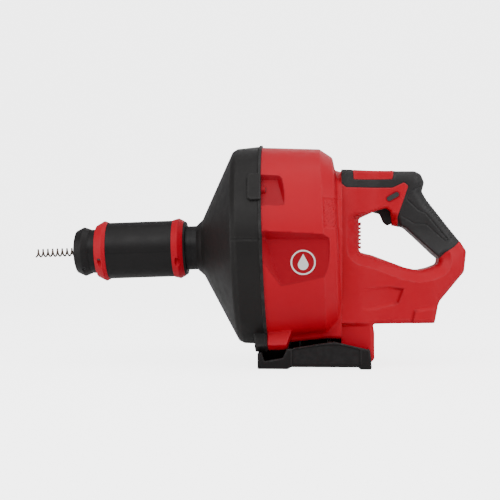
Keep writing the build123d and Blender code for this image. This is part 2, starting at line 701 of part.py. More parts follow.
def motor_windings():
    start, end = STATOR_X
    outer = block((start, end), (STATOR_BORE + 1.7, STATOR_RADIUS - 4.0), (-4.6, 4.6))
    outer = fillet(outer.edges().filter_by(Axis.Y), 2.5)
    core = block((start + 4, end - 4), (0, 40), (-2.2, 2.2))
    return [Pos(0, 0, MOTOR_Z) * piece for piece in around(outer - core, drum_screw_angles())]


def motor_rotor():
    body = tube(STATOR_X[0] + 3, STATOR_X[1] - 3, ROTOR_RADIUS, MOTOR_SHAFT_RADIUS - RUNNING, 0, MOTOR_Z)
    band = tube(STATOR_X[0] + 2, STATOR_X[0] + 3, 9.0, MOTOR_SHAFT_RADIUS - RUNNING, 0, MOTOR_Z)
    return body + band


def motor_shaft():
    """Motor shaft with the fast pinion at its front end."""
    phase = direction(LAY_Y, LAY_Z - MOTOR_Z) + 180 / PINION_TEETH
    pinion = gear(PINION_TEETH, FAST_MODULE, (FAST_X[0] - 0.5, FAST_X[1] + 1), phase, 0, MOTOR_Z)
    return pinion + rod(FAST_X[0], 162.0, MOTOR_SHAFT_RADIUS - RUNNING, 0, MOTOR_Z)


def motor_fan():
    """Fan with flat blades round a hub."""
    start, end = FAN_X
    body = rod(start, end, 5.5, 0, MOTOR_Z) + rod(start, start + 1.2, 19.0, 0, MOTOR_Z)
    blade = block((start, end), (5.0, 18.5), (-0.7, 0.7))
    blades = around(blade, [30 * index for index in range(12)])
    body = join_all(body, [Pos(0, 0, MOTOR_Z) * piece for piece in blades])
    return body - rod(start - 1, end + 1, MOTOR_SHAFT_RADIUS - RUNNING, 0, MOTOR_Z)


def motor_bearings():
    front = bearing(MOTOR_BEARING, CASE_BACK - 1.8, 0, MOTOR_Z)
    return [front, bearing(MOTOR_BEARING, 157.0, 0, MOTOR_Z)]


def motor_end_cap():
    """Rear carrier of the motor, open between its arms for the fan's air."""
    body = tube(146.5, 157.0, 24.0, 21.8, 0, MOTOR_Z) + tube(155.0, 162.0, 11.0, 8.0, 0, MOTOR_Z)
    arm = block((155.0, 157.0), (9.0, 23.0), (-3, 3))
    body = join_all(body, [Pos(0, 0, MOTOR_Z) * piece for piece in around(arm, (0, 90, 180, 270))])
    grip = tube(STATOR_X[1] - 12, 147.0, 24.0, STATOR_RADIUS, 0, MOTOR_Z)
    return body + grip


# Handle, world frame
def loop_outline():
    """Side outline of the handle shells: body, top arm, grip, lower arm, foot and rear leg."""
    points = [
        (PARTING_X, TOP_Z), (223.0, TOP_Z + 0.8), (236.0, 243.0), (232.4, 231.0), (239.0, 220.0),
        (281.6, 165.6), (290.6, 151.8), (287.3, 124.5), (253.5, 86.5), (251.8, 80.5), (246.4, FOOT_Z),
        (166.0, FOOT_Z - 1), (LEG_X, 40.0), (LEG_X, 12.0), (163.0, BASE_FLOOR), (PARTING_X, BASE_FLOOR),
    ]
    radii = [0, 11, 8, 5, 14, 40, 7, 9, 8, 3, 2, 3, 8, 4, 2, 0]
    return closed_face(points, radii)


def opening_outline():
    """Opening of the D-handle, with the notch that the trigger comes out of."""
    points = [
        (148.5, 150.6), (148.5, 194.5), (155.0, 198.0), (169.5, 204.6), (184.9, 209.0), (190.5, 204.5),
        (193.4, 186.0), (201.0, 184.6), (206.5, 184.4), (211.0, 181.9), (248.5, 147.6), (254.4, 142.5),
        (252.5, 134.5), (240.0, 129.5), (226.5, 126.6), (208.6, 130.4), (165.4, 146.6),
    ]
    radii = [5, 4, 3, 12, 3, 2.5, 1.5, 1.5, 3, 5, 20, 4, 5, 12, 20, 30, 8]
    return closed_face(points, radii)


def upright_plan(widths):
    """Tall solid with a half width given at each X."""
    near = [(x, -half) for x, half in widths]
    far = [(x, half) for x, half in reversed(widths)]
    return Pos(0, 0, -10) * extrude(make_face(Polyline(*(near + far), close=True)), amount=300)


def handle_solid(inset):
    """Whole handle as one solid, moved inwards by inset and open at the front if it is a hollow."""
    outer = offset(loop_outline(), -inset, kind=Kind.INTERSECTION) if inset else loop_outline()
    hole = offset(opening_outline(), inset, kind=Kind.INTERSECTION) if inset else opening_outline()
    loop = Pos(0, 100, 0) * extrude(Plane.XZ * (outer - hole), amount=200)
    upper = [
        (PARTING_X, BODY_HALF_WIDTH), (146.0, 52.0), (160.0, 33.0), (173.0, TOP_HALF_WIDTH),
        (214.0, TOP_HALF_WIDTH - 1), (236.0, GRIP_HALF_WIDTH + 1), (262.0, GRIP_HALF_WIDTH), (300.0, GRIP_HALF_WIDTH),
    ]
    lower = [
        (PARTING_X, BODY_HALF_WIDTH), (150.0, 54.0), (178.0, 45.0), (206.0, ARM_HALF_WIDTH),
        (246.0, ARM_HALF_WIDTH - 1), (264.0, 29.0), (292.0, GRIP_HALF_WIDTH), (300.0, GRIP_HALF_WIDTH),
    ]
    leg = [(PARTING_X, LEG_HALF_WIDTH), (200.0, LEG_HALF_WIDTH)]
    plans = []
    for widths, low, high in ((upper, 150, 300), (lower, FOOT_Z - 3, 150), (leg, 0, FOOT_Z - 3)):
        slim = [(x, half - inset) for x, half in widths]
        plans.append(upright_plan(slim) & block((0, 400), (-200, 200), (low, high)))
    solid = loop & (plans[0] + plans[1] + plans[2])
    if inset:
        front = solid.faces().sort_by(Axis.X)[0]
        solid = solid + extrude(front, amount=inset + 1, dir=(-1, 0, 0))
    return solid


def soft_zone():
    """Side outline of the parts that are covered by the soft grip."""
    points = [
        (118.0, 264.0), (138.8, 264.0), (140.5, 245.0), (192.5, 246.5), (197.0, 264.0), (306.0, 264.0),
        (306.0, 190.0), (281.6, 165.6), (273.4, 157.4), (261.0, 149.7), (253.1, 141.8), (249.0, 137.0),
        (228.0, 150.0), (203.5, 176.0), (200.2, 184.0), (199.2, 196.5), (213.6, 237.6), (207.9, 242.5),
        (193.1, 235.4), (131.0, 234.6), (125.5, 239.0), (118.0, 239.0),
    ]
    return side_plate(points, -100, 100)


def handle_screw_places():
    return (
        (138.0, 222.0), (222.0, 240.0), (262.0, 168.0), (274.0, 124.0),
        (240.0, 100.0), (184.0, 80.0), (138.0, 143.0), (145.0, 26.0),
    )


def along_y(x, z, start, end, radius):
    """Cylinder along Y from start to end."""
    return Pos(x, start, z) * Rot(-90, 0, 0) * Cylinder(radius, end - start, align=MIN_Z)


def button_shape(grow, half_length):
    """Rounded bar across the handle for the direction button."""
    length, height = BUTTON_SIZE
    face = SlotOverall(length + 2 * grow, height + 2 * grow, rotation=BUTTON_TILT)
    bar = Pos(0, half_length, 0) * extrude(Plane.XZ * face, amount=2 * half_length)
    return Pos(BUTTON_AT[0], 0, BUTTON_AT[1]) * bar


def battery_slot():
    """Hollow under the foot that the battery's rails slide into from the rear."""
    lips = block((176, 260), (-26, 26), (FOOT_Z - 2, FOOT_Z + 4.5))
    return lips + block((176, 260), (-31, 31), (FOOT_Z + 4, FOOT_Z + 12))


def handle_parts():
    """Left and right shells, and the left and right halves of the soft grip."""
    full = handle_solid(0)
    zone = soft_zone()
    skin = (full - handle_solid(SKIN)) & zone
    hollow = handle_solid(SKIN + 2.5) + (handle_solid(WALL) - zone)
    hollow = hollow - block((165, 260), (-60, 60), (0, FOOT_Z + 16))
    bosses = [along_y(x, z, -60, 60, 5.0) for x, z in handle_screw_places()]
    bosses += [Pos(x, y, 0) * Cylinder(5.0, 34, align=MIN_Z) for x, y in base_screw_places()[2:]]
    hollow = cut_all(hollow, bosses)
    hollow = hollow - block((183.5, 206), (-60, 60), (214.5, 233)) + block((186, 200.5), (-7, 7), (205, 217))
    shell = full - skin - hollow
    shell = shell - block((166.5, 198.2), (-6.4, 6.4), (183, 215.5))
    shell = shell - battery_slot() - block((198, 234), (-25, 25), (FOOT_Z + 11, FOOT_Z + 17))
    shell = shell - button_shape(0.5, 60) - block((144, 149.5), (-17, 17), (155, 190))
    shell = shell - along_y(*TRIGGER_PIVOT, -16, 16, 2.0)
    for x, y in base_screw_places()[2:]:
        shell = shell - Pos(x, y, 0) * Cylinder(1.9, 30, align=MIN_Z)
    for x, z in handle_screw_places():
        shell = shell - along_y(x, z, -16, 20, 1.9)
        shell = shell - along_y(x, z, 13, 70, 4.0)
        skin = skin - along_y(x, z, 13, 70, 4.0)
    near = block((0, 400), (-100, 0), (-10, 300))
    return shell & near, shell - near, skin & near, skin - near


def trigger():
    points = [
        (168.1, 203.5), (177.0, 201.4), (179.3, 196.0), (181.8, 190.0), (187.5, 185.4), (193.2, 188.7),
        (194.8, 196.3), (193.5, 207.5), (182.0, 212.5), (176.0, 216.5), (168.5, 216.0), (167.2, 211.0),
    ]
    body = side_plate(points, -6, 6, [1.5, 4, 8, 6, 4, 3, 4, 2, 3, 3, 3, 1])
    return body - along_y(*TRIGGER_PIVOT, -8, 8, 2.0 + RUNNING) - spring_room()


def spring_room():
    return along_y(*TRIGGER_PIVOT, -3, 3, 4.0) + block((172, 178), (-3, 3), (208, 218))


def trigger_pin():
    return along_y(*TRIGGER_PIVOT, -15, 15, 2.0)


def trigger_spring():
    """Torsion spring wound round the trigger's pin, with one leg against the trigger."""
    turns = [Pos(TRIGGER_PIVOT[0], y, TRIGGER_PIVOT[1]) * Rot(90, 0, 0) * Torus(3.0, 0.4) for y in (-2, -1, 0, 1, 2)]
    leg = Pos(TRIGGER_PIVOT[0] + 2.9, 2.0, TRIGGER_PIVOT[1] + 3.0) * Cylinder(0.4, 6.0)
    return join_all(turns[0], turns[1:] + [leg])


def trigger_switch():
    body = block((150, 178), (-10, 10), (221, 241))
    body = fillet(body.edges().filter_by(Axis.Y), 1.5)
    plunger = Pos(158, 0, 219.6) * Cylinder(2.5, 2.8)
    return body + plunger


def direction_button():
    body = button_shape(0.0, 27.5)
    return body - block((190, 196.4), (-3, 3), (200, 221.0))


def rear_vent():
    """Louvred insert in the front wall of the D-opening."""
    frame = block((144.5, 152.0), (-17, 17), (155, 190))
    frame = fillet(frame.edges().filter_by(Axis.X), 3.0)
    slots = [block((140, 156), (-13.5, 13.5), (z, z + 2.6)) for z in (158.5, 163.5, 168.5, 173.5, 178.5, 183.5)]
    return cut_all(frame, slots)


def terminal_block():
    body = block((198, 234), (-25, 25), (FOOT_Z + 11, FOOT_Z + 17))
    body = body + block((200, 232), (-22, 22), (FOOT_Z + 17, FOOT_Z + 21))
    return cut_all(body, [block((203, 223), (y - 0.6, y + 0.6), (0, 200)) for y in (-15, -5, 5, 15)])


def battery_contacts():
    return [block((203, 223), (y - 0.6, y + 0.6), (FOOT_Z + 4.8, FOOT_Z + 23)) for y in (-15, -5, 5, 15)]


def control_module():
    """Potted electronics in a finned aluminium tray."""
    body = block((180, 230), (-28, 28), (87, 99))
    fins = [block((180, 230), (y, y + 1.6), (99, 103)) for y in (-26, -20, -14, -8, -2, 4, 10, 16, 22)]
    return join_all(body, fins)


def wiring():
    """Insulated leads from battery to module, module to motor, and switch to module."""
    leads = [Pos(x, y, FOOT_Z + 21) * Cylinder(1.4, 8, align=MIN_Z) for x in (200.9, 228) for y in (-12, 12)]
    leads += [rod(141, 180, 1.4, 25.6, z) for z in (90.5, 94.0, 97.5)]
    for y in (-2.0, 2.0):
        points = [
            (153, 3 * y, 221), (153, 3 * y, 211), (141, y, 200), (141, y, 152),
            (153, y, 133), (186, y, 124), (196, y, 113), (196, y, 103.2),
        ]
        path = FilletPolyline(*points, radius=4)
        leads.append(sweep(Plane(origin=path @ 0, z_dir=path % 0) * Circle(1.1), path=path))
    return leads


def handle_screws():
    across = Rot(0, 0, -90) * screw(24.0, 1.85, 3.6, 2.4)
    return [Pos(x, 15.4, z) * across for x, z in handle_screw_places()]


# Base stand
def base_screw_places():
    return ((72.0, 24.0), (72.0, -24.0), (140.0, 34.0), (140.0, -34.0))


def base_stand():
    side = [
        (16.8, 0.5), (60.0, 0.5), (62.2, 2.4), (147.0, 2.4), (149.0, 0.5), (162.0, 0.5), (163.5, 4.0),
        (161.0, 25.5), (115.0, 36.0), (55.0, 26.5), (50.5, 15.5), (26.0, 11.5), (22.5, 22.0), (16.8, 20.5),
    ]
    body = side_plate(side, -BASE_HALF_WIDTH, BASE_HALF_WIDTH, [1, 2, 1, 1, 1, 1, 2, 2, 6, 4, 3, 4, 1, 2])
    half = BASE_HALF_WIDTH - BASE_WALL
    body = body - block((20.8, 159.5), (-half, half), (BASE_FLOOR, 60))
    saddles = block((53, 57), (-half, half), (2.4, 38)) + block((108, 112), (-half, half), (2.4, 38))
    posts = [Pos(x, y, 2.4) * Cylinder(7.0, 44, align=MIN_Z) for x, y in base_screw_places()[:2]]
    rib = block((20, 54), (-1.5, 1.5), (2.4, 21))
    body = join_all(body + saddles + rib, posts)
    body = body - housing_skin(0, FLANGE_X, 140) - handle_solid(0)
    body = body - in_place(turned([(-60, 0), (-60, 30), (-8, 132), (FLANGE_X, 134.3), (FLANGE_X, 0)]))
    body = body - housing_keel()
    lug = block((LUG_FRONT - 1, LUG_BACK + 1), (118.0, LUG_ORBIT + 1), (-10.5, 10.5))
    body = cut_all(body, [in_place(piece) for piece in around(lug, BOSS_ANGLES[2:])])
    body = body - block((158, 170), (-LEG_HALF_WIDTH, LEG_HALF_WIDTH), (BASE_FLOOR, 60))
    for x, y in base_screw_places():
        body = body - Pos(x, y, -1) * Cylinder(2.0, 60, align=MIN_Z)
    for x, y in base_screw_places()[:2]:
        body = body - Pos(x, y, -1) * Cylinder(4.2, 16, align=MIN_Z)
    for x, y in base_screw_places()[2:]:
        body = body - Pos(x, y, -1) * Cylinder(4.2, 6, align=MIN_Z)
    return cut_all(body, [Pos(0, 0, 0.5) * pad for pad in rubber_feet(1.5)])


def rubber_feet(height=2.0):
    pads = []
    for x in ((24, 56), (151, 160)):
        for y in ((-64, -36), (36, 64)):
            pad = block(x, y, (0, height))
            pads.append(fillet(pad.edges().filter_by(Axis.Z), 3.0))
    return pads


def base_screws():
    upright = Rot(0, -90, 0) * screw(24.0, 1.85, 3.6, 2.4)
    rear = [Pos(x, y, 2.6) * upright for x, y in base_screw_places()[2:]]
    return [Pos(x, y, 12.6) * upright for x, y in base_screw_places()[:2]] + rear


def badge_symbols():
    """Plain water drop in a ring, raised on each badge recess."""
    ring = Circle(15.5) - Circle(13.6)
    drop = Pos(0, -3.0) * Circle(6.5)
    point = make_face(Polyline((0, 10.5), (-5.9, -0.2), (5.9, -0.2), close=True))
    face = Plane.XZ * (Pos(76.0, 138.0) * (ring + drop + point))
    near = Pos(0, -119.0, 0) * extrude(face, amount=0.8, dir=(0, -1, 0))
    return [near, mirror(near, Plane.XZ)]


def main():
    """Write every node."""
    save("nose_collar", in_place(nose_collar()))
    save("feed_tube", in_place(feed_tube()))
    save("roller_guide", in_place(roller_guide()))
    carrier, roller = roller_carrier(), feed_roller()
    for number, angle in enumerate(roller_angles(), start=1):
        turn = Rot(angle, 0, 0)
        save("roller_carrier_" + str(number), in_place(turn * carrier))
        save("feed_roller_" + str(number), in_place(turn * roller))
    holes = ring_screw_holes()
    sleeve_upper, sleeve_lower = halves(sleeve_body())
    save("sleeve_upper", in_place(sleeve_upper))
    save("sleeve_lower", in_place(sleeve_lower))
    front_upper, front_lower = halves(cut_all(front_ring_body(), holes))
    save("front_ring_upper", in_place(front_upper))
    save("front_ring_lower", in_place(front_lower))
    rear_upper, rear_lower = halves(cut_all(rear_ring_body(), holes))
    save("rear_ring_upper", in_place(rear_upper))
    save("rear_ring_lower", in_place(rear_lower))
    save("ring_screws", *[in_place(piece) for piece in ring_screws()])
    save("front_shroud", in_place(front_shroud()))
    save("drum_housing", drum_housing_with_screw_holes())
    drum_front, drum_rear = drum_shells()
    save("drum_front", in_place(drum_front))
    save("drum_rear", in_place(drum_rear))
    save("drum_screws", *[in_place(piece) for piece in drum_screws()])
    save("drum_shaft", in_place(drum_shaft()))
    save("drum_gear", in_place(drum_gear()))
    save("drum_bearings", *[in_place(piece) for piece in drum_bearings()])
    save("cable_guide", in_place(cable_guide()))
    save("cable_coil", in_place(cable_coil()))
    save("cable_lead", in_place(cable_lead()))
    save("auger_tip", *[in_place(piece) for piece in auger_tip()])
    save("gear_case", in_place(gear_case()) & block((0, PARTING_X - REAR_WALL), (-100, 100), (0, 300)))
    save("gear_case_cover", in_place(gear_case_cover()))
    save("gear_case_screws", *[in_place(piece) for piece in gear_case_screws()])
    save("layshaft", in_place(layshaft()))
    save("layshaft_gear", in_place(layshaft_gear()))
    save("layshaft_bearings", *[in_place(piece) for piece in lay_bearings()])
    save("motor_stator", in_place(motor_stator()))
    save("motor_windings", *[in_place(piece) for piece in motor_windings()])
    save("motor_rotor", in_place(motor_rotor()))
    save("motor_shaft", in_place(motor_shaft()))
    save("motor_fan", in_place(motor_fan()))
    save("motor_bearings", *[in_place(piece) for piece in motor_bearings()])
    save("motor_end_cap", in_place(motor_end_cap()))
    left, right, grip_left, grip_right = handle_parts()
    save("handle_shell_left", left)
    save("handle_shell_right", right)
    save("grip_left", grip_left)
    save("grip_right", grip_right)
    save("trigger", trigger())
    save("trigger_pin", trigger_pin())
    save("trigger_spring", trigger_spring())
    save("trigger_switch", trigger_switch())
    save("direction_button", direction_button())
    save("rear_vent", rear_vent())
    save("terminal_block", terminal_block())
    save("battery_contacts", *battery_contacts())
    save("control_module", control_module())
    save("wiring", *wiring())
    save("base_stand", base_stand())
    save("rubber_feet", *rubber_feet())
    fasteners = [in_place(piece) for piece in shroud_screws() + nose_screws()]
    save("housing_screws", *(fasteners + handle_screws() + base_screws()))
    save("badge_symbols", *badge_symbols())


def drum_housing_with_screw_holes():
    """Housing with the holes for the screws that come up from the base."""
    body = drum_housing()
    for x, y in base_screw_places()[:2]:
        body = body - Pos(x, y, 0) * Cylinder(2.0, 60, align=MIN_Z)
    return body


main()
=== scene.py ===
import json
import math

import bpy
import numpy as np
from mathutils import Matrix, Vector


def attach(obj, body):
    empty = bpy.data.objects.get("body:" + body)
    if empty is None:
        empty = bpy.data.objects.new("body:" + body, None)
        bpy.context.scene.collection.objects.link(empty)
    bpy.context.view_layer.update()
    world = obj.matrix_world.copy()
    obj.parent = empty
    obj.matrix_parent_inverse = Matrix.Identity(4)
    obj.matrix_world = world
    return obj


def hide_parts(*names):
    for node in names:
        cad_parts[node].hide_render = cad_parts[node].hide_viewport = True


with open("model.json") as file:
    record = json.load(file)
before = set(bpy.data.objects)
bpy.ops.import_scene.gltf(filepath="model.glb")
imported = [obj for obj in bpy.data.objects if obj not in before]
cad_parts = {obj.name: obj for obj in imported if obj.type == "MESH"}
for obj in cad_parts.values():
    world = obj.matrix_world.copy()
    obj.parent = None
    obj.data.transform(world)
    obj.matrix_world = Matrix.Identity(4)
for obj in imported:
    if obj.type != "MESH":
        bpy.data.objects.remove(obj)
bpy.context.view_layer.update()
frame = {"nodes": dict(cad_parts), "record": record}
NODES = frame["nodes"]
# The shapes are worked out in millimetres, in the frame's own axes.
MM = 0.001


# ---------------------------------------------------------------- materials
# Painted shade: colour factors for recesses, slot borders and the rim seam (the barrel's dark joint line
# too), and for the grip's grooves.
PAINTED_SHADE_AND_JOINT_DARKNESS, GROOVE_PAINTED_SHADE = 0.62, 0.25
# Paler edge colour: part rubbed wear, part painted highlight.
PALE_SHARE, PALE_GREY = 0.25, 0.35


def hexed(red, green, blue):
    """Scene colour of an sRGB colour given as 0 to 255."""
    out = []
    for value in (red, green, blue):
        v = value / 255
        out.append(v / 12.92 if v <= 0.04045 else ((v + 0.055) / 1.055) ** 2.4)
    return (out[0], out[1], out[2], 1.0)


def new_material(name):
    """A material with a Principled shader, and its nodes and links."""
    mat = bpy.data.materials.new(name)
    mat.use_nodes = True
    shader = mat.node_tree.nodes["Principled BSDF"]
    return mat, mat.node_tree.nodes, mat.node_tree.links, shader


def noise(nodes, links, coords, scale, detail=2.0, rough=0.5):
    """Noise texture over the coordinates, as a 0 to 1 factor."""
    tex = nodes.new("ShaderNodeTexNoise")
    tex.inputs["Scale"].default_value = scale
    tex.inputs["Detail"].default_value = detail
    tex.inputs["Roughness"].default_value = rough
    links.new(coords, tex.inputs["Vector"])
    return tex.outputs["Fac"]


def ramp(nodes, links, factor, stops):
    """Colour that runs through (place, colour) stops with a factor."""
    node = nodes.new("ShaderNodeValToRGB")
    node.color_ramp.elements[0].position = stops[0][0]
    node.color_ramp.elements[0].color = stops[0][1]
    node.color_ramp.elements[1].position = stops[-1][0]
    node.color_ramp.elements[1].color = stops[-1][1]
    for place, colour in stops[1:-1]:
        node.color_ramp.elements.new(place).color = colour
    links.new(factor, node.inputs["Fac"])
    return node.outputs["Color"]


def spread(nodes, links, factor, low, high):
    """Maps a 0 to 1 factor on to a range."""
    node = nodes.new("ShaderNodeMapRange")
    node.inputs["From Min"].default_value = 0.3
    node.inputs["From Max"].default_value = 0.7
    node.inputs["To Min"].default_value = low
    node.inputs["To Max"].default_value = high
    links.new(factor, node.inputs["Value"])
    return node.outputs["Result"]


def bump(nodes, links, height, strength, distance, shader, below=None):
    """Relief from a height factor, on top of another bump if there is one."""
    node = nodes.new("ShaderNodeBump")
    node.inputs["Strength"].default_value = strength
    node.inputs["Distance"].default_value = distance
    links.new(height, node.inputs["Height"])
    if below is not None:
        links.new(below, node.inputs["Normal"])
    links.new(node.outputs["Normal"], shader.inputs["Normal"])
    return node.outputs["Normal"]


def shade(colour, factor):
    """Colour made darker or lighter by a factor."""
    return tuple(min(1.0, c * factor) for c in colour[:3]) + (1.0,)


def mixed(nodes, links, factor, first, second_colour):
    """Colour that goes from first to a fixed second colour with a factor."""
    node = nodes.new("ShaderNodeMix")
    node.data_type = "RGBA"
    links.new(factor, node.inputs["Factor"])
    links.new(first, node.inputs[6])
    node.inputs[7].default_value = second_colour
    return node.outputs[2]


def mesh_value(nodes, name):
    """Per-point value stored on the mesh, or 0 where a mesh has none."""
    node = nodes.new("ShaderNodeAttribute")
    node.attribute_name = name
    return node.outputs["Fac"]


def product(nodes, links, first, second):
    """Product of two values, each a number or a node's output."""
    node = nodes.new("ShaderNodeMath")
    node.operation = "MULTIPLY"
    for index, value in enumerate((first, second)):
        if isinstance(value, (int, float)):
            node.inputs[index].default_value = value
        else:
            links.new(value, node.inputs[index])
    return node.outputs["Value"]


def moulded(name, colour, rough, grain, depth, mottle=0.06, specular=0.5, edge_wear_and_highlight=0.3):
    """Moulded plastic: spark-eroded grain, slow shade drift, paler edges that are part rubbed wear and
    part painted highlight, painted shade where a mesh marks recesses, and uneven gloss.
    """
    mat, nodes, links, shader = new_material(name)
    coords = nodes.new("ShaderNodeTexCoord").outputs["Object"]
    drift = noise(nodes, links, coords, 14.0, 3.0)
    dark, light = shade(colour, 1 - mottle), shade(colour, 1 + mottle)
    base = ramp(nodes, links, drift, [(0.3, dark), (0.7, light)])
    # Painted shade in recesses, slot borders and grooves; the barrel's dark joint line uses the same mark.
    painted_shade_and_joint = mixed(nodes, links, mesh_value(nodes, "painted_shade_and_joint"), base, shade(colour, PAINTED_SHADE_AND_JOINT_DARKNESS))
    # Paler patchy edges: part rubbed wear, part painted highlight.
    patchy = noise(nodes, links, coords, 120.0, 3.0, 0.7)
    paler_edge_wear_and_highlight = product(nodes, links, mesh_value(nodes, "edge"), spread(nodes, links, patchy, 0.0, edge_wear_and_highlight))
    pale = tuple((1 - PALE_SHARE) * c + PALE_SHARE * PALE_GREY for c in colour[:3]) + (1.0,)
    links.new(mixed(nodes, links, paler_edge_wear_and_highlight, painted_shade_and_joint, pale), shader.inputs["Base Color"])
    gloss = noise(nodes, links, coords, 55.0, 4.0, 0.6)
    links.new(spread(nodes, links, gloss, rough - 0.05, rough + 0.06), shader.inputs["Roughness"])
    fine = noise(nodes, links, coords, grain, 2.0, 0.6)
    coarse = noise(nodes, links, coords, 38.0, 2.0)
    first = bump(nodes, links, coarse, 0.08, 0.0006, shader)
    bump(nodes, links, fine, depth, 0.00018, shader, first)
    shader.inputs["Specular IOR Level"].default_value = specular
    return mat


def rubber(name, colour, rough, grain):
    """Soft overmould: velvety, with a fine leathery grain, and painted shade in the grooves a mesh marks.
    """
    mat, nodes, links, shader = new_material(name)
    coords = nodes.new("ShaderNodeTexCoord").outputs["Object"]
    cells = nodes.new("ShaderNodeTexVoronoi")
    cells.feature = "DISTANCE_TO_EDGE"
    cells.inputs["Scale"].default_value = grain
    links.new(coords, cells.inputs["Vector"])
    dust = noise(nodes, links, coords, 30.0, 4.0, 0.65)
    tones = [(0.35, shade(colour, 0.9)), (0.7, shade(colour, 1.15))]
    base = ramp(nodes, links, dust, tones)
    # Painted shade in the grip's grooves.
    painted_shade_and_joint = mixed(nodes, links, mesh_value(nodes, "painted_shade_and_joint"), base, shade(colour, GROOVE_PAINTED_SHADE))
    links.new(painted_shade_and_joint, shader.inputs["Base Color"])
    links.new(spread(nodes, links, dust, rough - 0.04, rough + 0.08), shader.inputs["Roughness"])
    bump(nodes, links, cells.outputs["Distance"], 0.35, 0.00015, shader)
    shader.inputs["Sheen Weight"].default_value = 0.12
    shader.inputs["Sheen Roughness"].default_value = 0.5
    shader.inputs["Specular IOR Level"].default_value = 0.4
    return mat


def metal(name, colour, rough, stretch=(1, 1, 1), stain=0.2):
    """Bare metal with machining marks along one direction and a slight stain."""
    mat, nodes, links, shader = new_material(name)
    coords = nodes.new("ShaderNodeTexCoord").outputs["Object"]
    mapping = nodes.new("ShaderNodeMapping")
    mapping.inputs["Scale"].default_value = stretch
    links.new(coords, mapping.inputs["Vector"])
    marks = noise(nodes, links, mapping.outputs["Vector"], 900.0, 3.0, 0.7)
    age = noise(nodes, links, coords, 60.0, 4.0, 0.6)
    tones = [(0.3, shade(colour, 1 - stain)), (0.65, colour)]
    links.new(ramp(nodes, links, age, tones), shader.inputs["Base Color"])
    links.new(spread(nodes, links, marks, rough - 0.07, rough + 0.1), shader.inputs["Roughness"])
    bump(nodes, links, marks, 0.18, 0.0001, shader)
    shader.inputs["Metallic"].default_value = 1.0
    return mat


RED = (0.53, 0.0001, 0.014, 1.0)
MATERIALS = {
    "red_plastic": moulded("red_plastic", RED, 0.46, 2600, 0.12, 0.035, 0.2),
    "black_plastic": moulded("black_plastic", hexed(22, 20, 20), 0.46, 2300, 0.14, 0.1, 0.25),
    "shroud_black": moulded("shroud_black", hexed(25, 23, 22), 0.5, 1500, 0.3, 0.08, 0.25),
    "soft_grip": rubber("soft_grip", hexed(25, 23, 23), 0.5, 1900),
    "grey_plastic": moulded("grey_plastic", hexed(50, 48, 48), 0.48, 2300, 0.25, 0.08),
    "rubber_black": rubber("rubber_black", hexed(36, 35, 35), 0.75, 1300),
    "steel": metal("steel", hexed(176, 175, 174), 0.3, (1, 12, 12)),
    "cable_steel": metal("cable_steel", hexed(112, 98, 88), 0.34, (14, 1, 1), 0.45),
    "bearing_steel": metal("bearing_steel", hexed(205, 206, 208), 0.18, (1, 8, 8), 0.1),
    "screw_steel": metal("screw_steel", hexed(74, 73, 74), 0.4, (1, 1, 1), 0.3),
    "aluminium": metal("aluminium", hexed(190, 191, 193), 0.42, (1, 1, 1), 0.15),
    "carrier_zinc": metal("carrier_zinc", hexed(160, 160, 163), 0.45, (1, 1, 1), 0.2),
    "lamination": metal("lamination", hexed(88, 86, 86), 0.5, (30, 1, 1), 0.3),
    "copper": metal("copper", hexed(196, 112, 70), 0.36, (1, 10, 10), 0.3),
    "contact_brass": metal("contact_brass", hexed(214, 186, 120), 0.3, (1, 1, 8), 0.2),
    "lead_insulation": rubber("lead_insulation", hexed(150, 22, 26), 0.5, 2400),
    "badge_white": moulded("badge_white", hexed(232, 231, 229), 0.4, 2600, 0.15, 0.02),
}


def dress_nodes():
    """Puts each CAD node's material in its slot."""
    for part in frame["record"]["subparts"]:
        mesh = NODES[part["node"]].data
        mesh.materials.clear()
        mesh.materials.append(MATERIALS[part["material_slot"]])


# ---------------------------------------------------------------- studio
FLOOR_HALF, FLOOR_FRONT, FLOOR_BACK, WALL_TOP = 5.0, -4.0, 1.6, 5.0
SWEEP_RADIUS, SWEEP_STEPS = 1.4, 12
FLOOR_GLOW, WORLD_LIGHT, WORLD_GLOW = 3.8, 0.3, 4.0
LIGHT_TARGET = (0.0, 0.0, 0.16)
LIGHTS = [
    ("key", (-0.5, -1.5, 1.5), (1.5, 1.2), 21),
    ("fill", (1.6, -1.2, 0.9), (1.0, 1.0), 11),
    ("top", (0.1, -0.1, 2.0), (1.8, 1.2), 11),
    ("back", (0.6, 1.9, 1.2), (1.8, 1.0), 6),
    ("rear_corner", (1.5, -0.45, 1.5), (0.8, 0.8), 7),
    ("left", (-1.8, -0.45, 0.5), (1.2, 1.0), 9),
]


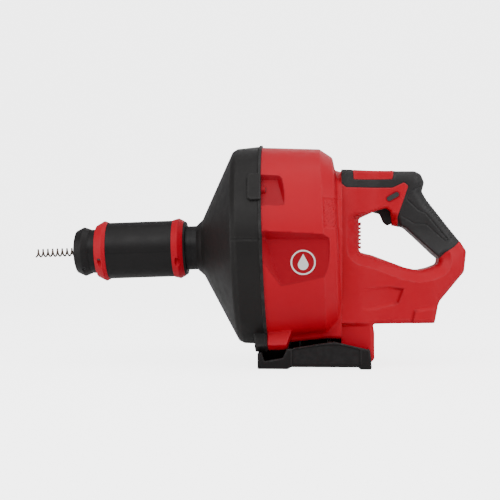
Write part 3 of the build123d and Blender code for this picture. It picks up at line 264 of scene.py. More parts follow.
def floor_sweep():
    """Pale floor that curves up into a backdrop and looks white to the camera."""
    outline = [(FLOOR_FRONT, 0.0), (FLOOR_BACK, 0.0)]
    for step in range(SWEEP_STEPS + 1):
        turn = math.radians(90 * step / SWEEP_STEPS)
        y = FLOOR_BACK + SWEEP_RADIUS * math.sin(turn)
        outline.append((y, SWEEP_RADIUS - SWEEP_RADIUS * math.cos(turn)))
    outline.append((FLOOR_BACK + SWEEP_RADIUS, WALL_TOP))
    mesh = bpy.data.meshes.new("studio_floor")
    points, faces = [], []
    for y, z in outline:
        points += [(-FLOOR_HALF, y, z), (FLOOR_HALF, y, z)]
    for index in range(len(outline) - 1):
        a = 2 * index
        faces.append((a, a + 1, a + 3, a + 2))
    mesh.from_pydata(points, [], faces)
    mesh.polygons.foreach_set("use_smooth", [True] * len(faces))
    floor = bpy.data.objects.new("studio_floor", mesh)
    bpy.context.scene.collection.objects.link(floor)
    mat, nodes, links, shader = new_material("studio_paper")
    coords = nodes.new("ShaderNodeTexCoord").outputs["Object"]
    cloud = noise(nodes, links, coords, 1.5, 2.0)
    tones = [(0.3, (0.86, 0.86, 0.86, 1)), (0.7, (0.88, 0.88, 0.88, 1))]
    links.new(ramp(nodes, links, cloud, tones), shader.inputs["Base Color"])
    shader.inputs["Roughness"].default_value = 0.8
    shader.inputs["Specular IOR Level"].default_value = 0.1
    seen = nodes.new("ShaderNodeLightPath").outputs["Is Camera Ray"]
    shader.inputs["Emission Color"].default_value = (1, 1, 1, 1)
    links.new(product(nodes, links, seen, FLOOR_GLOW), shader.inputs["Emission Strength"])
    mesh.materials.append(mat)


def area_light(name, place, size, power):
    """Rectangular white light that faces the object."""
    data = bpy.data.lights.new(name, "AREA")
    data.shape = "RECTANGLE"
    data.size, data.size_y = size
    data.energy = power
    lamp = bpy.data.objects.new(name, data)
    lamp.location = place
    lamp.rotation_euler = (Vector(LIGHT_TARGET) - Vector(place)).to_track_quat("-Z", "Y").to_euler()
    bpy.context.scene.collection.objects.link(lamp)


def studio():
    """Floor, soft lights, and a world that is dim for the object and white for the camera."""
    floor_sweep()
    for light in LIGHTS:
        area_light(*light)
    world = bpy.data.worlds.new("studio_world")
    world.use_nodes = True
    nodes, links = world.node_tree.nodes, world.node_tree.links
    nodes["Background"].inputs["Color"].default_value = (0.95, 0.96, 1.0, 1)
    seen = nodes.new("ShaderNodeLightPath").outputs["Is Camera Ray"]
    links.new(spread(nodes, links, seen, WORLD_LIGHT, WORLD_GLOW), nodes["Background"].inputs["Strength"])
    bpy.context.scene.world = world


def camera():
    """Side view from a long lens, level with the drum, a little towards the handle."""
    place = Vector((0.0871, -1.45, 0.1533))
    target = Vector((0.0034, 0.0, 0.1533))
    data = bpy.data.cameras.new("camera")
    data.sensor_width = 36.0
    data.lens = 77.5
    cam = bpy.data.objects.new("camera", data)
    cam.location = place
    cam.rotation_euler = (target - place).to_track_quat("-Z", "Y").to_euler()
    bpy.context.scene.collection.objects.link(cam)
    bpy.context.scene.camera = cam


# ---------------------------------------------------------------- shapes from distance fields
def rounded_ring(points, radii, steps=5):
    """Closed outline as a ring of points, with each corner rounded to its radius."""
    ring = []
    count = len(points)
    corners = np.array(points, float)
    for index in range(count):
        here, before, after = corners[index], corners[index - 1], corners[(index + 1) % count]
        to_before, to_after = before - here, after - here
        reach = 0.49 * min(np.linalg.norm(to_before), np.linalg.norm(to_after))
        to_before /= np.linalg.norm(to_before)
        to_after /= np.linalg.norm(to_after)
        half = 0.5 * math.acos(np.clip(to_before @ to_after, -1, 1))
        cut = min(radii[index] / math.tan(half), reach) if radii[index] else 0.0
        if cut < 0.01:
            ring.append(here)
            continue
        for step in range(steps + 1):
            t = step / steps
            start, end = here + to_before * cut, here + to_after * cut
            ring.append((1 - t) ** 2 * start + 2 * t * (1 - t) * here + t * t * end)
    return np.array(ring)


def ring_distance(ring, x, z, closed=True):
    """Signed distance to a closed ring (negative inside), or plain distance to an open line."""
    nearest = np.full(np.broadcast(x, z).shape, 1e9)
    inside = np.zeros(nearest.shape, bool)
    last = len(ring) if closed else len(ring) - 1
    for index in range(last):
        ax, az = ring[index]
        bx, bz = ring[(index + 1) % len(ring)]
        dx, dz = bx - ax, bz - az
        along = np.clip(((x - ax) * dx + (z - az) * dz) / (dx * dx + dz * dz + 1e-12), 0, 1)
        nearest = np.minimum(nearest, (x - ax - along * dx) ** 2 + (z - az - along * dz) ** 2)
        if closed and dz != 0:
            crosses = ((az > z) != (bz > z)) & (x < dx * (z - az) / dz + ax)
            inside ^= crosses
    return np.sqrt(nearest) * np.where(inside, -1, 1)


def plan(ring, low, high, closed=True, cell=0.7):
    """Distance to a side outline, looked up from a fine table."""
    xs = np.arange(low[0], high[0] + cell, cell)
    zs = np.arange(low[1], high[1] + cell, cell)
    table = ring_distance(ring, xs[:, None], zs[None, :], closed).astype(np.float32)

    def look_up(x, z):
        u = np.clip((x - low[0]) / cell, 0, len(xs) - 1.001)
        v = np.clip((z - low[1]) / cell, 0, len(zs) - 1.001)
        i, j = u.astype(int), v.astype(int)
        fu, fv = u - i, v - j
        return (
            table[i, j] * (1 - fu) * (1 - fv) + table[i + 1, j] * fu * (1 - fv)
            + table[i, j + 1] * (1 - fu) * fv + table[i + 1, j + 1] * fu * fv
        )

    return look_up


def view_plan(points, radii, low, high, closed=True):
    """Distance to an outline of (x, z) places with rounded corners, seen from the side."""
    corners = [radii] * len(points) if isinstance(radii, (int, float)) else radii
    ring = rounded_ring(points, corners) if closed else np.array(points, float)
    return plan(ring, low, high, closed)


def step_up(value, start, end):
    """Smooth 0 to 1 as value goes from start to end."""
    t = np.clip((value - start) / (end - start), 0, 1)
    return t * t * (3 - 2 * t)


def round_meet(a, b, radius):
    """Where two fields overlap, with the shared edge rounded."""
    u, v = a + radius, b + radius
    return np.minimum(np.maximum(u, v), 0) + np.hypot(np.maximum(u, 0), np.maximum(v, 0)) - radius


def blend_union(a, b, radius):
    """Two fields joined, with the inner corner filled smoothly."""
    h = np.maximum(radius - np.abs(a - b), 0) / radius
    return np.minimum(a, b) - h * h * radius / 4


def profile(stops, soften=6.0):
    """Curve near (place, value) stops, with its corners softened."""
    places = np.array([p for p, _ in stops], float)
    values = np.array([v for _, v in stops], float)
    fine = np.arange(places[0], places[-1], 0.5)
    reach = np.arange(-3 * soften, 3 * soften + 0.5, 0.5)
    weight = np.exp(-0.5 * (reach / soften) ** 2)
    weight /= weight.sum()
    smooth = sum(w * np.interp(fine + r, places, values) for w, r in zip(weight, reach))
    return lambda x: np.interp(x, fine, smooth)


def field_normals(field, points, reach=0.15):
    """Unit gradient of a field at the points."""
    out = np.zeros_like(points)
    for corner in ((1, -1, -1), (-1, -1, 1), (-1, 1, -1), (1, 1, 1)):
        k = np.array(corner, float)
        moved = points + k * reach
        out += k * field(moved[:, 0], moved[:, 1], moved[:, 2])[:, None]
    return out / np.maximum(np.linalg.norm(out, axis=1), 1e-9)[:, None]


def contour(field, low, high, step):
    """Surface of a field where it is zero, as points and quads, with creases kept crisp."""
    low = np.array(low, float)
    counts = np.ceil((np.array(high, float) - low) / step).astype(int) + 1
    axes = [low[k] + step * np.arange(counts[k]) for k in range(3)]
    values = field(axes[0][:, None, None], axes[1][None, :, None], axes[2][None, None, :])
    values = np.broadcast_to(values, counts)
    inside = values < 0
    cells = counts - 1
    crossing_points, crossing_cells, quads = [], [], []
    for axis in range(3):
        near = [slice(None)] * 3
        far = [slice(None)] * 3
        near[axis], far[axis] = slice(0, -1), slice(1, None)
        change = inside[tuple(near)] != inside[tuple(far)]
        index = np.argwhere(change)
        index = index[np.all((index > 0) & (index < counts - 1), axis=1)]
        shift = np.zeros(3, int)
        shift[axis] = 1
        start = low + step * index
        va = values[tuple(index.T)].astype(float)
        vb = values[tuple((index + shift).T)].astype(float)
        a, b = np.zeros(len(index)), np.ones(len(index))
        for _ in range(3):
            t = a + (b - a) * np.clip(va / (va - vb), 0.02, 0.98)
            at = start + step * shift * t[:, None]
            vt = field(at[:, 0], at[:, 1], at[:, 2])
            same = (vt < 0) == (va < 0)
            a, va = np.where(same, t, a), np.where(same, vt, va)
            b, vb = np.where(same, b, t), np.where(same, vb, vt)
        t = a + (b - a) * va / (va - vb + 1e-12 * np.sign(va - vb + 1e-30))
        crossing = start + step * shift * t[:, None]
        one, two = np.zeros(3, int), np.zeros(3, int)
        one[(axis + 1) % 3], two[(axis + 2) % 3] = 1, 1
        corners = [index - one - two, index - two, index, index - one]
        ids = [np.ravel_multi_index(tuple(c.T), cells) for c in corners]
        crossing_points.append(crossing)
        crossing_cells.append(np.stack(ids, axis=1))
        order = np.stack(ids, axis=1)
        starts_inside = inside[tuple(index.T)]
        order[~starts_inside] = order[~starts_inside][:, ::-1]
        quads.append(order)
    points = np.concatenate(crossing_points)
    normals = field_normals(field, points)
    quads = np.concatenate(quads)
    used, compact = np.unique(np.concatenate(crossing_cells), return_inverse=True)
    compact = compact.reshape(-1)
    places = np.repeat(points, 4, axis=0)
    facing = np.repeat(normals, 4, axis=0)
    total = len(used)

    def gather(weights):
        return np.bincount(compact, weights=weights, minlength=total)

    share = gather(None)
    middle = np.stack([gather(places[:, k]) / share for k in range(3)], axis=1)
    offsets = np.einsum("ij,ij->i", facing, places - middle[compact])
    square = np.zeros((total, 3, 3))
    right = np.zeros((total, 3))
    for r in range(3):
        right[:, r] = gather(facing[:, r] * offsets)
        for c in range(3):
            square[:, r, c] = gather(facing[:, r] * facing[:, c])
    square += 0.06 * np.eye(3)
    shift = np.linalg.solve(square, right[:, :, None])[:, :, 0]
    cell_index = np.stack(np.unravel_index(used, cells), axis=1)
    floor = low + step * cell_index
    vertices = np.clip(middle + shift, floor - 0.1 * step, floor + 1.1 * step)
    return vertices, np.searchsorted(used, quads)


# ---------------------------------------------------------------- pieces
CREASE = math.radians(34)
EDGE_REACH, EDGE_FULL = 1.6, 0.22


def new_piece(name, points, faces, material):
    """Linked object from points in metres, with its material, and its mesh."""
    mesh = bpy.data.meshes.new(name)
    mesh.from_pydata(points.tolist(), [], faces)
    mesh.materials.append(MATERIALS[material])
    piece = bpy.data.objects.new("visual_" + name, mesh)
    bpy.context.scene.collection.objects.link(piece)
    return piece, mesh


def mark_points(mesh, points, field, painted_shade_and_joint):
    """Stores on each point how sharp an outer edge it is on, for paler edges that are part wear and part
    painted highlight, and how far into a recess it is, for painted shade.
    """
    around = np.zeros(len(points))
    for k in range(3):
        for sign in (-1, 1):
            moved = points.copy()
            moved[:, k] += sign * EDGE_REACH
            around += field(moved[:, 0], moved[:, 1], moved[:, 2]) / 6
    # Painted shade amount; the paler edges are held back where it is.
    depth = painted_shade_and_joint(points[:, 0], points[:, 1], points[:, 2]) if painted_shade_and_joint else np.zeros(len(points))
    edge = np.clip(around / (EDGE_FULL * EDGE_REACH), 0, 1) * np.clip(1 - 1.2 * depth, 0, 1)
    mesh.attributes.new("edge", "FLOAT", "POINT").data.foreach_set("value", edge.astype(np.float32))
    mesh.attributes.new("painted_shade_and_joint", "FLOAT", "POINT").data.foreach_set("value", depth.astype(np.float32))


def finish_mesh(mesh):
    """Smooth shading with crisp creases."""
    mesh.polygons.foreach_set("use_smooth", [True] * len(mesh.polygons))
    mesh.set_sharp_from_angle(angle=CREASE)


def stand_in(name, points, faces, marked, material, body):
    """One replacement piece for the CAD node of the same name."""
    piece, mesh = new_piece(name, points, faces, material)
    mark_points(mesh, *marked)
    finish_mesh(mesh)
    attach(piece, body)
    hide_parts(name)


def make_piece(field, low, high, step, node, material, body, painted_shade_and_joint=None):
    """One piece from a field, standing for a CAD node."""
    points, quads = contour(field, low, high, step)
    stand_in(node, points * MM, quads.tolist(), (points, field, painted_shade_and_joint), material, body)


def make_pair(field, low, high, step, left, right, material, body, painted_shade_and_joint=None):
    """Left piece from a field, and its mirror image as the right piece."""
    points, quads = contour(field, low, high, step)
    for name, sign in ((left, 1), (right, -1)):
        faces = quads if sign > 0 else quads[:, ::-1]
        placed = points * (MM, sign * MM, MM)
        stand_in(name, placed, faces.tolist(), (points, field, painted_shade_and_joint), material, body)


# ---------------------------------------------------------------- handle shells and soft grip
HANDLE_LOW, HANDLE_HIGH = (123.0, 3.0), (293.5, 261.0)
FRONT_X = 125.0
FLARE, FLARE_WIDTH = 16.0, 12.0
LEG_HALF = 48.0
RECESS_DEPTH, FOOT_DEPTH = 3.4, 2.4
SHELL_WALL, GRIP_WALL, SKIRT = 2.9, 1.9, (2.0, 4.5)
PARTING_GAP, GRIP_PROUD = 0.05, 0.15
TRIGGER_ROOM = (181.0, 17.5), (200.0, 19.0), 6.9
GROOVE_DEPTH, GROOVE_WIDTH = 0.8, 0.8
RIB_HEIGHT, RIB_PITCH = 0.35, 4.4
BUTTON_MIDDLE, BUTTON_TURN, BUTTON_REACH, BUTTON_GAP = (193.2, 223.6), math.radians(30), 5.6, 3.1


def handle_plan(points, radii=0.0, closed=True):
    """Look-up of the distance to an outline in the handle's side view."""
    return view_plan(points, radii, HANDLE_LOW, HANDLE_HIGH, closed)


def handle_plans():
    """The outlines that the handle is made from, seen from the side."""
    loop = handle_plan([
        (110, 257.5), (223.0, 258.0), (231.0, 254.0), (236.0, 243.0), (232.4, 231.0), (239.0, 220.0),
        (281.6, 165.6), (290.4, 151.8), (287.3, 124.5), (253.5, 86.5), (251.0, 80.0), (246.4, 58.0),
        (166.0, 57.0), (168, 46.0), (168.0, 12.0), (163.0, 6.2), (110, 6.2),
    ], [0, 8, 6, 8, 5, 16, 60, 8, 9, 8, 3, 2.5, 3, 8, 4, 2, 0])
    opening = handle_plan([
        (148.5, 150.6), (148.5, 194.5), (155.0, 198.0), (169.5, 204.6), (184.9, 209.0), (190.5, 204.5),
        (193.4, 186.0), (201.0, 184.6), (206.5, 184.4), (211.0, 181.9), (248.5, 147.6), (254.4, 142.5),
        (252.5, 134.5), (240.0, 129.5), (226.5, 126.6), (208.6, 130.4), (165.4, 146.6),
    ], [6, 5, 3, 12, 3, 2.5, 1.5, 1.5, 4, 8, 26, 6, 7, 14, 22, 30, 8])
    soft = handle_plan([
        (110, 270.0), (138.8, 270.0), (141.0, 245.0), (192.5, 246.5), (197.0, 270.0), (310.0, 270.0),
        (310.0, 190.0), (281.6, 165.6), (273.4, 157.4), (261.0, 149.7), (253.1, 141.8), (249.0, 137.0),
        (228.0, 150.0), (203.5, 176.0), (200.2, 184.0), (199.2, 196.5), (213.6, 237.6), (207.9, 242.5),
        (193.1, 235.4), (131.0, 234.6), (125.5, 239.0), (110, 239.0),
    ], [0, 0, 2, 2, 0, 0, 0, 4, 8, 8, 2, 2, 2, 6, 6, 8, 3, 3, 6, 2, 2, 0])
    groove = handle_plan([
        (229.5, 237.7), (217.2, 231.4), (212.2, 219.8), (226.6, 206.0), (236.7, 201.6), (265.6, 167.0),
        (261.2, 165.6), (236.7, 187.9), (220.8, 188.7), (205.0, 198.1),
    ], closed=False)
    recess = handle_plan([
        (186.0, 107.0), (207.5, 103.5), (199.5, 83.0), (150.0, 71.0), (140.0, 103.0),
    ], [2, 1, 1, 20, 20])
    foot = handle_plan([(218.5, 76.0), (262.0, 81.5), (262.0, 40.0), (211.0, 40.0)], 1)
    return {
        "loop": loop, "opening": opening, "soft": soft, "groove": groove, "recess": recess, "foot": foot,
    }


PLANS = handle_plans()
UPPER = profile([
    (125, 56.0), (134, 53.0), (146, 45.0), (160, 34.0), (173, 27.5), (214, 24.5), (236, 20.5), (262, 19.5),
    (300, 19.5),
])
LOWER = profile([
    (125, 57.0), (150, 54.0), (178, 45.5), (206, 43.0), (246, 41.0), (268, 30.0), (288, 19.5), (300, 19.5),
])


def handle_body(x, y, z):
    """Whole handle as a field: a loop with rounded edges, flared round the lower part of the opening."""
    loop, opening = PLANS["loop"](x, z), PLANS["opening"](x, z)
    soft = PLANS["soft"](x, z)
    high = step_up(z, 128, 182)
    width = LOWER(x) * (1 - high) + UPPER(x) * high
    leg = step_up(z, 60, 54)
    width = width * (1 - leg) + np.minimum(width, LEG_HALF) * leg
    low_side = step_up(z, 204, 192) * step_up(soft, -6, 4)
    flare = np.clip(1 - np.maximum(opening, 0) / FLARE, 0, 1)
    width = width - FLARE_WIDTH * low_side * flare ** 0.95
    recess = PLANS["recess"](x, z)
    width = width - RECESS_DEPTH * step_up(recess, 0.4, -4.6) * np.clip((x - 148) / 45, 0, 1)
    width = width + FOOT_DEPTH * step_up(PLANS["foot"](x, z), 0.4, -4.0)
    gripped = step_up(soft, 3, -4) * step_up(x + z, 405, 418)
    edge = 4.0 + 10.5 * gripped + 2.5 * low_side
    edge = edge * step_up(z, 4, 30) + 3.0 * (1 - step_up(z, 4, 30))
    across = np.abs(y) - width
    outline = np.maximum(loop, -opening)
    body = round_meet(outline, across, edge)
    seam = 0.5 * np.exp(-(soft / 0.7) ** 2)
    return body + seam


def button_slot(x, z):
    """Distance to the round-ended slot for the direction button."""
    c, s = math.cos(BUTTON_TURN), math.sin(BUTTON_TURN)
    right, up = x - BUTTON_MIDDLE[0], z - BUTTON_MIDDLE[1]
    along, across = right * c + up * s, up * c - right * s
    return np.hypot(np.maximum(np.abs(along) - BUTTON_REACH, 0), across) - BUTTON_GAP


def trigger_slot(x, y, z):
    """Room between the shells that the trigger comes out of."""
    (middle_x, reach_x), (middle_z, reach_z), half = TRIGGER_ROOM
    seen = np.maximum(np.abs(x - middle_x) - reach_x, np.abs(z - middle_z) - reach_z)
    return np.maximum(seen, np.abs(y) - half)


def shell_field(x, y, z):
    """Left half of the hollow red shell."""
    body = handle_body(x, y, z)
    zone = PLANS["soft"](x, z)
    field = np.maximum(body, -(body + SHELL_WALL))
    field = np.maximum(field, -zone + 0.1)
    skirt = np.maximum(body + SKIRT[0], -(body + SKIRT[1]))
    field = np.minimum(field, np.maximum(skirt, zone))
    field = np.maximum(field, -button_slot(x, z))
    field = np.maximum(field, -trigger_slot(x, y, z))
    field = np.maximum(field, FRONT_X - x)
    return np.maximum(field, y + PARTING_GAP)


def shell_painted_shade(x, y, z):
    """Shade round the button slot and on the steep walls of the recess and the foot, from 0 to 1."""
    slot = step_up(button_slot(x, z), 2.4, 0.9)
    recess_wall = np.exp(-((PLANS["recess"](x, z) + 2.1) / 1.9) ** 2) * step_up(x, 190, 198)
    foot_wall = np.exp(-((PLANS["foot"](x, z) + 1.8) / 1.7) ** 2) * step_up(x, 226, 220)
    return np.maximum(slot, 0.85 * np.maximum(recess_wall, foot_wall))


def grip_field(x, y, z):
    """Left half of the soft grip, with its moulded grooves."""
    body = handle_body(x, y, z)
    zone = PLANS["soft"](x, z)
    groove = GROOVE_DEPTH * np.exp(-(PLANS["groove"](x, z) / GROOVE_WIDTH) ** 2)
    along = (x * 0.68 - z * 0.73) * 2 * math.pi / RIB_PITCH
    rear = step_up(PLANS["loop"](x, z), -17, -12) * step_up(x, 232, 238) * step_up(x, 276, 268)
    ribs = RIB_HEIGHT * rear * (0.5 - 0.5 * np.cos(along)) * step_up(PLANS["opening"](x, z), 8, 14)
    field = np.maximum(body + groove + ribs - GRIP_PROUD, -(body + GRIP_WALL))
    field = np.maximum(field, zone + 0.1)
    field = np.maximum(field, FRONT_X - x)
    return np.maximum(field, y + PARTING_GAP)


def grip_painted_shade(x, y, z):
    """Painted shade in the grip's moulded grooves: how far into a groove a place is, from 0 to 1."""
    return 0.8 * np.exp(-(PLANS["groove"](x, z) / GROOVE_WIDTH) ** 2)


# ---------------------------------------------------------------- drum housing, shroud and base
AXIS_HEIGHT, TILT = 158.8, math.radians(2.0)
FLANGE_X, PARTING_X = 25.5, 125.0
HOUSING_WALL, KEEL_HALF = 3.0, 50.0
BADGE_FLOOR, POCKET_FLOOR, POCKET_TOP = 119.0, 94.5, 241.0
PAD_HALF, PAD_CORNER, PAD_FRONT, RIM_BACK = 20.0, 6.0, 8.5, 25.4
STAND_HALF, STAND_INNER, STAND_FLOOR = 70.0, 66.0, 2.5
VENT_MIDDLE, VENT_HALF, VENT_FIRST = 172.5, (17.4, 16.9), 157.3
MOTOR_Z, MOTOR_ROOM, MOTOR_FRONT = -68.2, 23.0, 100.0
LOUVRE_PITCH = 5.0
PAD_ANGLES, LUG_ANGLES = (33, 147), (243, 297)


def drum_axes(x, y, z):
    """Place along the drum's axis, and the two places across it."""
    up = z - AXIS_HEIGHT
    return x * math.cos(TILT) + up * math.sin(TILT), y, up * math.cos(TILT) - x * math.sin(TILT)


def turned_plan(points, radii, low, high):
    """Look-up for a solid of revolution from an outline of (place along the axis, radius)."""
    return plan(rounded_ring(points, radii, 8), low, high, cell=0.5)


BELL = turned_plan(
    [
        (-40, -10), (-40, 131.0), (25.5, 131.0), (101.0, 126.0), (118.0, 114.0), (121.0, 97.0),
        (150.0, 89.0), (150.0, -10),
    ],
    [0, 0, 0, 3, 7, 4, 0, 0], (18, 60), (132, 136),
)
CONE = turned_plan(
    [
        (-66.8, 25.0), (-66.8, 30.6), (-58.7, 37.8), (-14.0, 127.0), (-7.5, 130.5), (21.5, 132.5),
        (22.3, 134.0), (25.5, 134.0), (25.5, 128.5), (-6.5, 127.0), (-11.0, 123.5), (-55.0, 36.6),
        (-55.0, 25.0),
    ],
    [0, 1, 5, 5, 3, 0.3, 0.5, 0.8, 0, 4, 7, 2, 0], (-70, 20), (30, 138),
)


BADGE = view_plan(
    [
        (29.0, 166.5), (107.0, 166.5), (107.5, 124.5), (114.0, 122.0), (114.0, 112.0), (84.0, 110.0),
        (53.0, 98.0),
    ],
    1, (10, 80), (130, 190),
)
POCKET = view_plan([(8.0, 241.0), (43.3, 241.0), (52.6, 209.0), (8.0, 209.0)], 0.5, (5, 195), (70, 260))
KEEL = view_plan(
    [(44.0, 34.0), (60.0, 33.0), (108.0, 38.5), (140.0, 38.5), (140.0, 90.0), (44.0, 90.0)],
    [4, 6, 3, 0, 0, 0], (35, 20), (140, 100),
)


def bar_round(along, out, across, span, reach, half, edge):
    """Block with rounded edges, from its place along the axis, outwards and across."""
    a = np.maximum(span[0] - along, along - span[1]) + edge
    b = np.maximum(reach[0] - out, out - reach[1]) + edge
    c = np.abs(across) - half + edge
    outside = np.sqrt(np.maximum(a, 0) ** 2 + np.maximum(b, 0) ** 2 + np.maximum(c, 0) ** 2)
    return np.minimum(np.maximum(np.maximum(a, b), c), 0) + outside - edge


def turned_to(y, z, angle):
    """Outward and crosswise places as seen from a given angle round the axis."""
    c, s = math.cos(math.radians(angle)), math.sin(math.radians(angle))
    return y * c + z * s, -y * s + z * c


def badge_recess(x, y, z):
    """Sloping-sided recess on both sides for the badge."""
    out = np.abs(y)
    side_walls = (BADGE(x, z) - 0.95 * (out - BADGE_FLOOR)) * 0.72
    return np.maximum(BADGE_FLOOR - out, side_walls)


def pocket_recess(x, y, z):
    """Screw pocket in the upper flank, whose floor runs out downwards."""
    out = np.abs(y)
    floor = POCKET_FLOOR + (POCKET_TOP - z) * 0.80
    walls = (POCKET(x, z) - 0.9 * (out - floor)) * 0.72
    return np.maximum((floor - out) * 0.78, walls)


def housing_field(x, y, z):
    """Hollow drum housing with its keel, lugs and recesses, and room for the motor."""
    xl, yl, zl = drum_axes(x, y, z)
    radius = np.hypot(yl, zl)
    bell = BELL(xl, radius)
    keel = round_meet(KEEL(x, z), np.abs(y) - KEEL_HALF - 6.5 * step_up(x, 96, 122), 5.0)
    body = blend_union(bell, keel, 4.0)
    for angle in LUG_ANGLES:
        out, across = turned_to(yl, zl, angle)
        slope = (xl - 57.0) + (out - 128.0) * 0.35
        lug = np.maximum(bar_round(xl, out, across, (25.6, 60.0), (100.0, 148.5), 9.0, 1.8), slope * 0.94)
        body = blend_union(body, lug, 2.5)
    recess = np.minimum(badge_recess(x, y, z), pocket_recess(x, y, z))
    step_line = 0.9 * step_up(xl, 101.5, 103.0) * step_up(z, 180, 181.5) * step_up(z, 218.5, 217)
    cavity = np.maximum(bell + HOUSING_WALL, HOUSING_WALL - recess)
    cavity = np.maximum(cavity, xl - 118.0)
    body = np.maximum(body + step_line, -recess)
    for angle in PAD_ANGLES:
        out, across = turned_to(yl, zl, angle)
        ear = round_meet(np.hypot(out - 124.5, across) - 5.4, xl - 31.4, 1.0)
        body = np.minimum(body, ear)
    body = np.maximum(body, -cavity)
    motor_room = np.maximum(np.hypot(yl, zl - MOTOR_Z) - MOTOR_ROOM, MOTOR_FRONT - xl)
    body = np.maximum(body, -motor_room)
    body = np.maximum(body, FLANGE_X + 0.1 - xl)
    return np.maximum(body, x - PARTING_X)


def housing_painted_shade(x, y, z):
    """Painted shade in the badge recess and the screw pockets: how far into one a place is, from 0 to 1.
    """
    badge = step_up(badge_recess(x, y, z), 0.7, 0.2)
    pocket = step_up(pocket_recess(x, y, z), 0.7, 0.2)
    return np.maximum(0.8 * badge, 0.9 * pocket)


def rim_pad(along, out, across):
    """Low pad on the rim with well-rounded front corners."""
    a, c = PAD_FRONT - along + PAD_CORNER, np.abs(across) - PAD_HALF + PAD_CORNER
    shape = np.minimum(np.maximum(a, c), 0) + np.hypot(np.maximum(a, 0), np.maximum(c, 0)) - PAD_CORNER
    return np.maximum(round_meet(shape, np.maximum(out - 135.8, 127.5 - out), 1.8), along - RIM_BACK)


def rim_seam(x, z):
    """Strength of the moulded parting line on the rim, by its height."""
    return np.exp(-((z - 166.5) / 0.8) ** 2) * step_up(x, -14, -12) * step_up(x, 24.5, 23.5)


def shroud_painted_shade(x, y, z):
    """Painted shade in the rim's parting line: how far into it a place is, from 0 to 1."""
    return 0.9 * rim_seam(drum_axes(x, y, z)[0], z)


def shroud_field(x, y, z):
    """Hollow front cone and rim, with pads and lugs."""
    xl, yl, zl = drum_axes(x, y, z)
    radius = np.hypot(yl, zl)
    body = CONE(xl, radius)
    for angle in PAD_ANGLES:
        out, across = turned_to(yl, zl, angle)
        body = blend_union(body, rim_pad(xl, out, across), 1.5)
    for angle in LUG_ANGLES:
        out, across = turned_to(yl, zl, angle)
        lug = bar_round(xl, out, across, (9.0, RIM_BACK), (127.5, 150.0), 10.0, 2.0)
        body = blend_union(body, lug, 2.0)
    return body + 0.7 * rim_seam(xl, z) * step_up(radius, 122, 124)


BASE_SIDE = view_plan(
    [
        (16.8, 0.3), (56.0, 0.3), (60.5, 3.0), (146.0, 3.0), (149.0, 0.3), (162.0, 0.3), (163.4, 3.0),
        (161.0, 25.5), (115.0, 36.0), (55.0, 26.5), (49.5, 15.0), (26.0, 10.5), (22.3, 22.0), (16.8, 20.5),
    ],
    [2, 2, 1, 1, 2, 1.5, 1.5, 2, 4, 3, 2, 2, 1.2, 1.5], (8, -6), (172, 50),
)
BASE_HOLLOW = view_plan([(20.8, 3.2), (159.0, 6.0), (159.0, 60.0), (20.8, 60.0)], 1.5, (8, -6), (172, 70))


def base_field(x, y, z):
    """Tray-shaped stand: side walls with a ridge, a low front lip and two cross walls under the bell."""
    wall = BASE_SIDE(x, z)
    out = np.abs(y)
    inset = 1.6 * step_up(x, 60.5, 62.5) * step_up(x, 149.5, 147.5) * step_up(z, 33, 31)
    inset = inset * step_up(wall, -1.2, -3.2)
    body = round_meet(wall, out - STAND_HALF + inset, 1.8)
    hollow = np.maximum(BASE_HOLLOW(x, z), out - STAND_INNER)
    body = np.maximum(body, -hollow)
    inside = np.maximum(out - STAND_INNER - 0.5, np.maximum(STAND_FLOOR - z, wall))
    cross = np.minimum(np.abs(x - 55.0), np.abs(x - 110.0)) - 2.0
    middle_rib = np.maximum(np.maximum(out - 1.5, x - 55.0), np.maximum(18.0 - x, z - 21.0))
    body = np.minimum(body, np.maximum(inside, cross))
    body = np.minimum(body, np.maximum(middle_rib, STAND_FLOOR - z))
    xl, yl, zl = drum_axes(x, y, z)
    near_bell = BELL(xl, np.hypot(yl, zl)) - 0.2
    keel = np.maximum(KEEL(x, z), out - KEEL_HALF) - 0.2
    leg = np.maximum(out - 48.2, 157.5 - x)
    leg = np.maximum(leg, 6.0 - z)
    body = np.maximum(body, -np.minimum(np.minimum(near_bell, keel), leg))
    for angle in LUG_ANGLES:
        distance, across = turned_to(yl, zl, angle)
        body = np.maximum(body, -bar_round(xl, distance, across, (8.0, 58.0), (100.0, 151.0), 10.5, 0.5))
    return body


def vent_field(x, y, z):
    """Vent insert whose louvres reach out into the finger opening."""
    height = np.abs(z - VENT_MIDDLE)
    outer = np.maximum(np.maximum(144.5 - x, x - 151.9), height - VENT_HALF[0])
    body = round_meet(outer, np.abs(y) - VENT_HALF[1], 1.5)
    place = np.mod(z - VENT_FIRST, LOUVRE_PITCH) - LOUVRE_PITCH / 2
    gap = np.maximum(np.abs(place) - 1.3, height - 15.0)
    through = np.maximum(gap, np.abs(y) - 13.5)
    rim = np.maximum(gap, 149.3 - x)
    return np.maximum(body, -np.minimum(through, rim))


TRIGGER = view_plan(
    [
        (168.1, 203.5), (177.0, 201.4), (179.3, 196.0), (181.8, 190.0), (187.5, 185.4), (193.2, 188.7),
        (194.8, 196.3), (193.5, 207.5), (182.0, 212.5), (176.0, 216.5), (168.5, 216.0), (167.2, 211.0),
    ],
    [1.5, 4, 8, 6, 4, 3, 4, 2, 3, 3, 3, 1], (160, 178), (202, 224),
)


def trigger_field(x, y, z):
    """Finger trigger, rounded across its front."""
    body = round_meet(TRIGGER(x, z), np.abs(y) - 6.0, 2.6)
    pivot = np.hypot(x - 172.0, z - 212.0) - 2.05
    return np.maximum(body, -pivot)


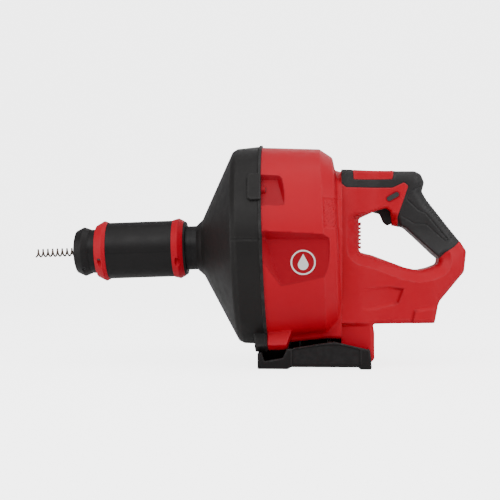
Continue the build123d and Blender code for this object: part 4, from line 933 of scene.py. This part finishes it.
# ---------------------------------------------------------------- sleeve line and auger
BARREL_RADIUS, BARREL_SPAN, BARREL_LINE = 37.9, (-187.0, -100.0), -4.0
LINE_HALF, LINE_PROUD, LINE_SHADE = 0.5, 0.06, 2.2
AUGER_TIP, AUGER_LENGTH, AUGER_PITCH = -289.3, 60.4, 6.6
AUGER_RADIUS, AUGER_WIRE = 4.75, 1.2
AUGER_STEPS, WIRE_SIDES = 330, 12
PLUG_RADIUS, PLUG_SPAN = 3.5, (-233.9, -228.05)


def machine_axes(along, up):
    """The x and z of a place along the drum's axis and above it."""
    x = along * math.cos(TILT) - up * math.sin(TILT)
    return x, AXIS_HEIGHT + along * math.sin(TILT) + up * math.cos(TILT)


def barrel_line():
    """Parting line of the two barrel halves, as a thin dark strip on each side of the sleeve."""
    points, faces = [], []
    for sign in (-1, 1):
        base = len(points)
        for along in BARREL_SPAN:
            for up in (BARREL_LINE - LINE_HALF, BARREL_LINE + LINE_HALF):
                out = sign * (math.sqrt(BARREL_RADIUS ** 2 - up ** 2) + LINE_PROUD)
                x, z = machine_axes(along, up)
                points.append((x, out, z))
        order = (0, 2, 3, 1) if sign < 0 else (0, 1, 3, 2)
        faces.append([base + k for k in order])
    piece, mesh = new_piece("barrel_line", np.array(points) * MM, faces, "black_plastic")
    mesh.attributes.new("painted_shade_and_joint", "FLOAT", "POINT").data.foreach_set("value", [LINE_SHADE] * len(points))
    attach(piece, "sleeve")


def auger():
    """Open steel helix on its plug, at the end of the cable."""
    turns = np.linspace(0, 2 * math.pi * AUGER_LENGTH / AUGER_PITCH, AUGER_STEPS)
    ring = np.linspace(0, 2 * math.pi, WIRE_SIDES, endpoint=False)
    sine, cosine, zero = np.sin(turns), np.cos(turns), np.zeros_like(turns)
    lead = AUGER_PITCH / (2 * math.pi)
    outward = np.stack([zero, sine, -cosine], axis=1)
    middle = AUGER_RADIUS * outward
    middle[:, 0] = AUGER_TIP + AUGER_PITCH * turns / (2 * math.pi)
    ahead = np.stack([zero + lead, AUGER_RADIUS * cosine, AUGER_RADIUS * sine], axis=1)
    ahead /= np.linalg.norm(ahead, axis=1)[:, None]
    across = np.cross(ahead, outward)
    outwards = np.cos(ring)[None, :, None] * outward[:, None]
    sideways = np.sin(ring)[None, :, None] * across[:, None]
    tube = middle[:, None] + AUGER_WIRE * (outwards + sideways)
    plug = [(x, PLUG_RADIUS * math.cos(a), PLUG_RADIUS * math.sin(a)) for x in PLUG_SPAN for a in ring]
    local = np.vstack([tube.reshape(-1, 3), np.array(plug)])
    loops = np.arange(len(local)).reshape(-1, WIRE_SIDES).tolist()
    wire_end, plug_front, plug_back = loops[AUGER_STEPS - 1], loops[AUGER_STEPS], loops[AUGER_STEPS + 1]
    faces = [loops[0][::-1], wire_end]
    for index in list(range(AUGER_STEPS - 1)) + [AUGER_STEPS]:
        near, far = loops[index], loops[index + 1]
        for k in range(WIRE_SIDES):
            after = (k + 1) % WIRE_SIDES
            faces.append((near[k], near[after], far[after], far[k]))
    faces += [plug_front[::-1], plug_back]
    x, z = machine_axes(local[:, 0], local[:, 2])
    piece, mesh = new_piece("auger_tip", np.stack([x, local[:, 1], z], axis=1) * MM, faces, "cable_steel")
    finish_mesh(mesh)
    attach(piece, "cable")
    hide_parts("auger_tip")


# ---------------------------------------------------------------- the scene
camera()
studio()
dress_nodes()
barrel_line()
auger()
make_piece(
    housing_field, (19, -135, 22), (128, 135, 294), 1.5,
    "drum_housing", "red_plastic", "machine", housing_painted_shade,
)
make_piece(
    shroud_field, (-70, -137, 18), (33, 137, 297), 1.5,
    "front_shroud", "shroud_black", "machine", shroud_painted_shade,
)
make_piece(base_field, (14, -73, -2), (167, 73, 42), 1.2, "base_stand", "black_plastic", "machine")
make_piece(trigger_field, (165, -8, 182), (198, 8, 220), 0.6, "trigger", "black_plastic", "trigger")
make_piece(vent_field, (142, -20, 152), (155, 20, 193), 0.6, "rear_vent", "red_plastic", "machine")
make_pair(
    shell_field, (122, -60, 3), (293, 1.5, 260), 1.1,
    "handle_shell_left", "handle_shell_right", "red_plastic", "machine", shell_painted_shade,
)
make_pair(
    grip_field, (122, -60, 130), (293, 1.5, 260), 1.1,
    "grip_left", "grip_right", "soft_grip", "machine", grip_painted_shade,
)
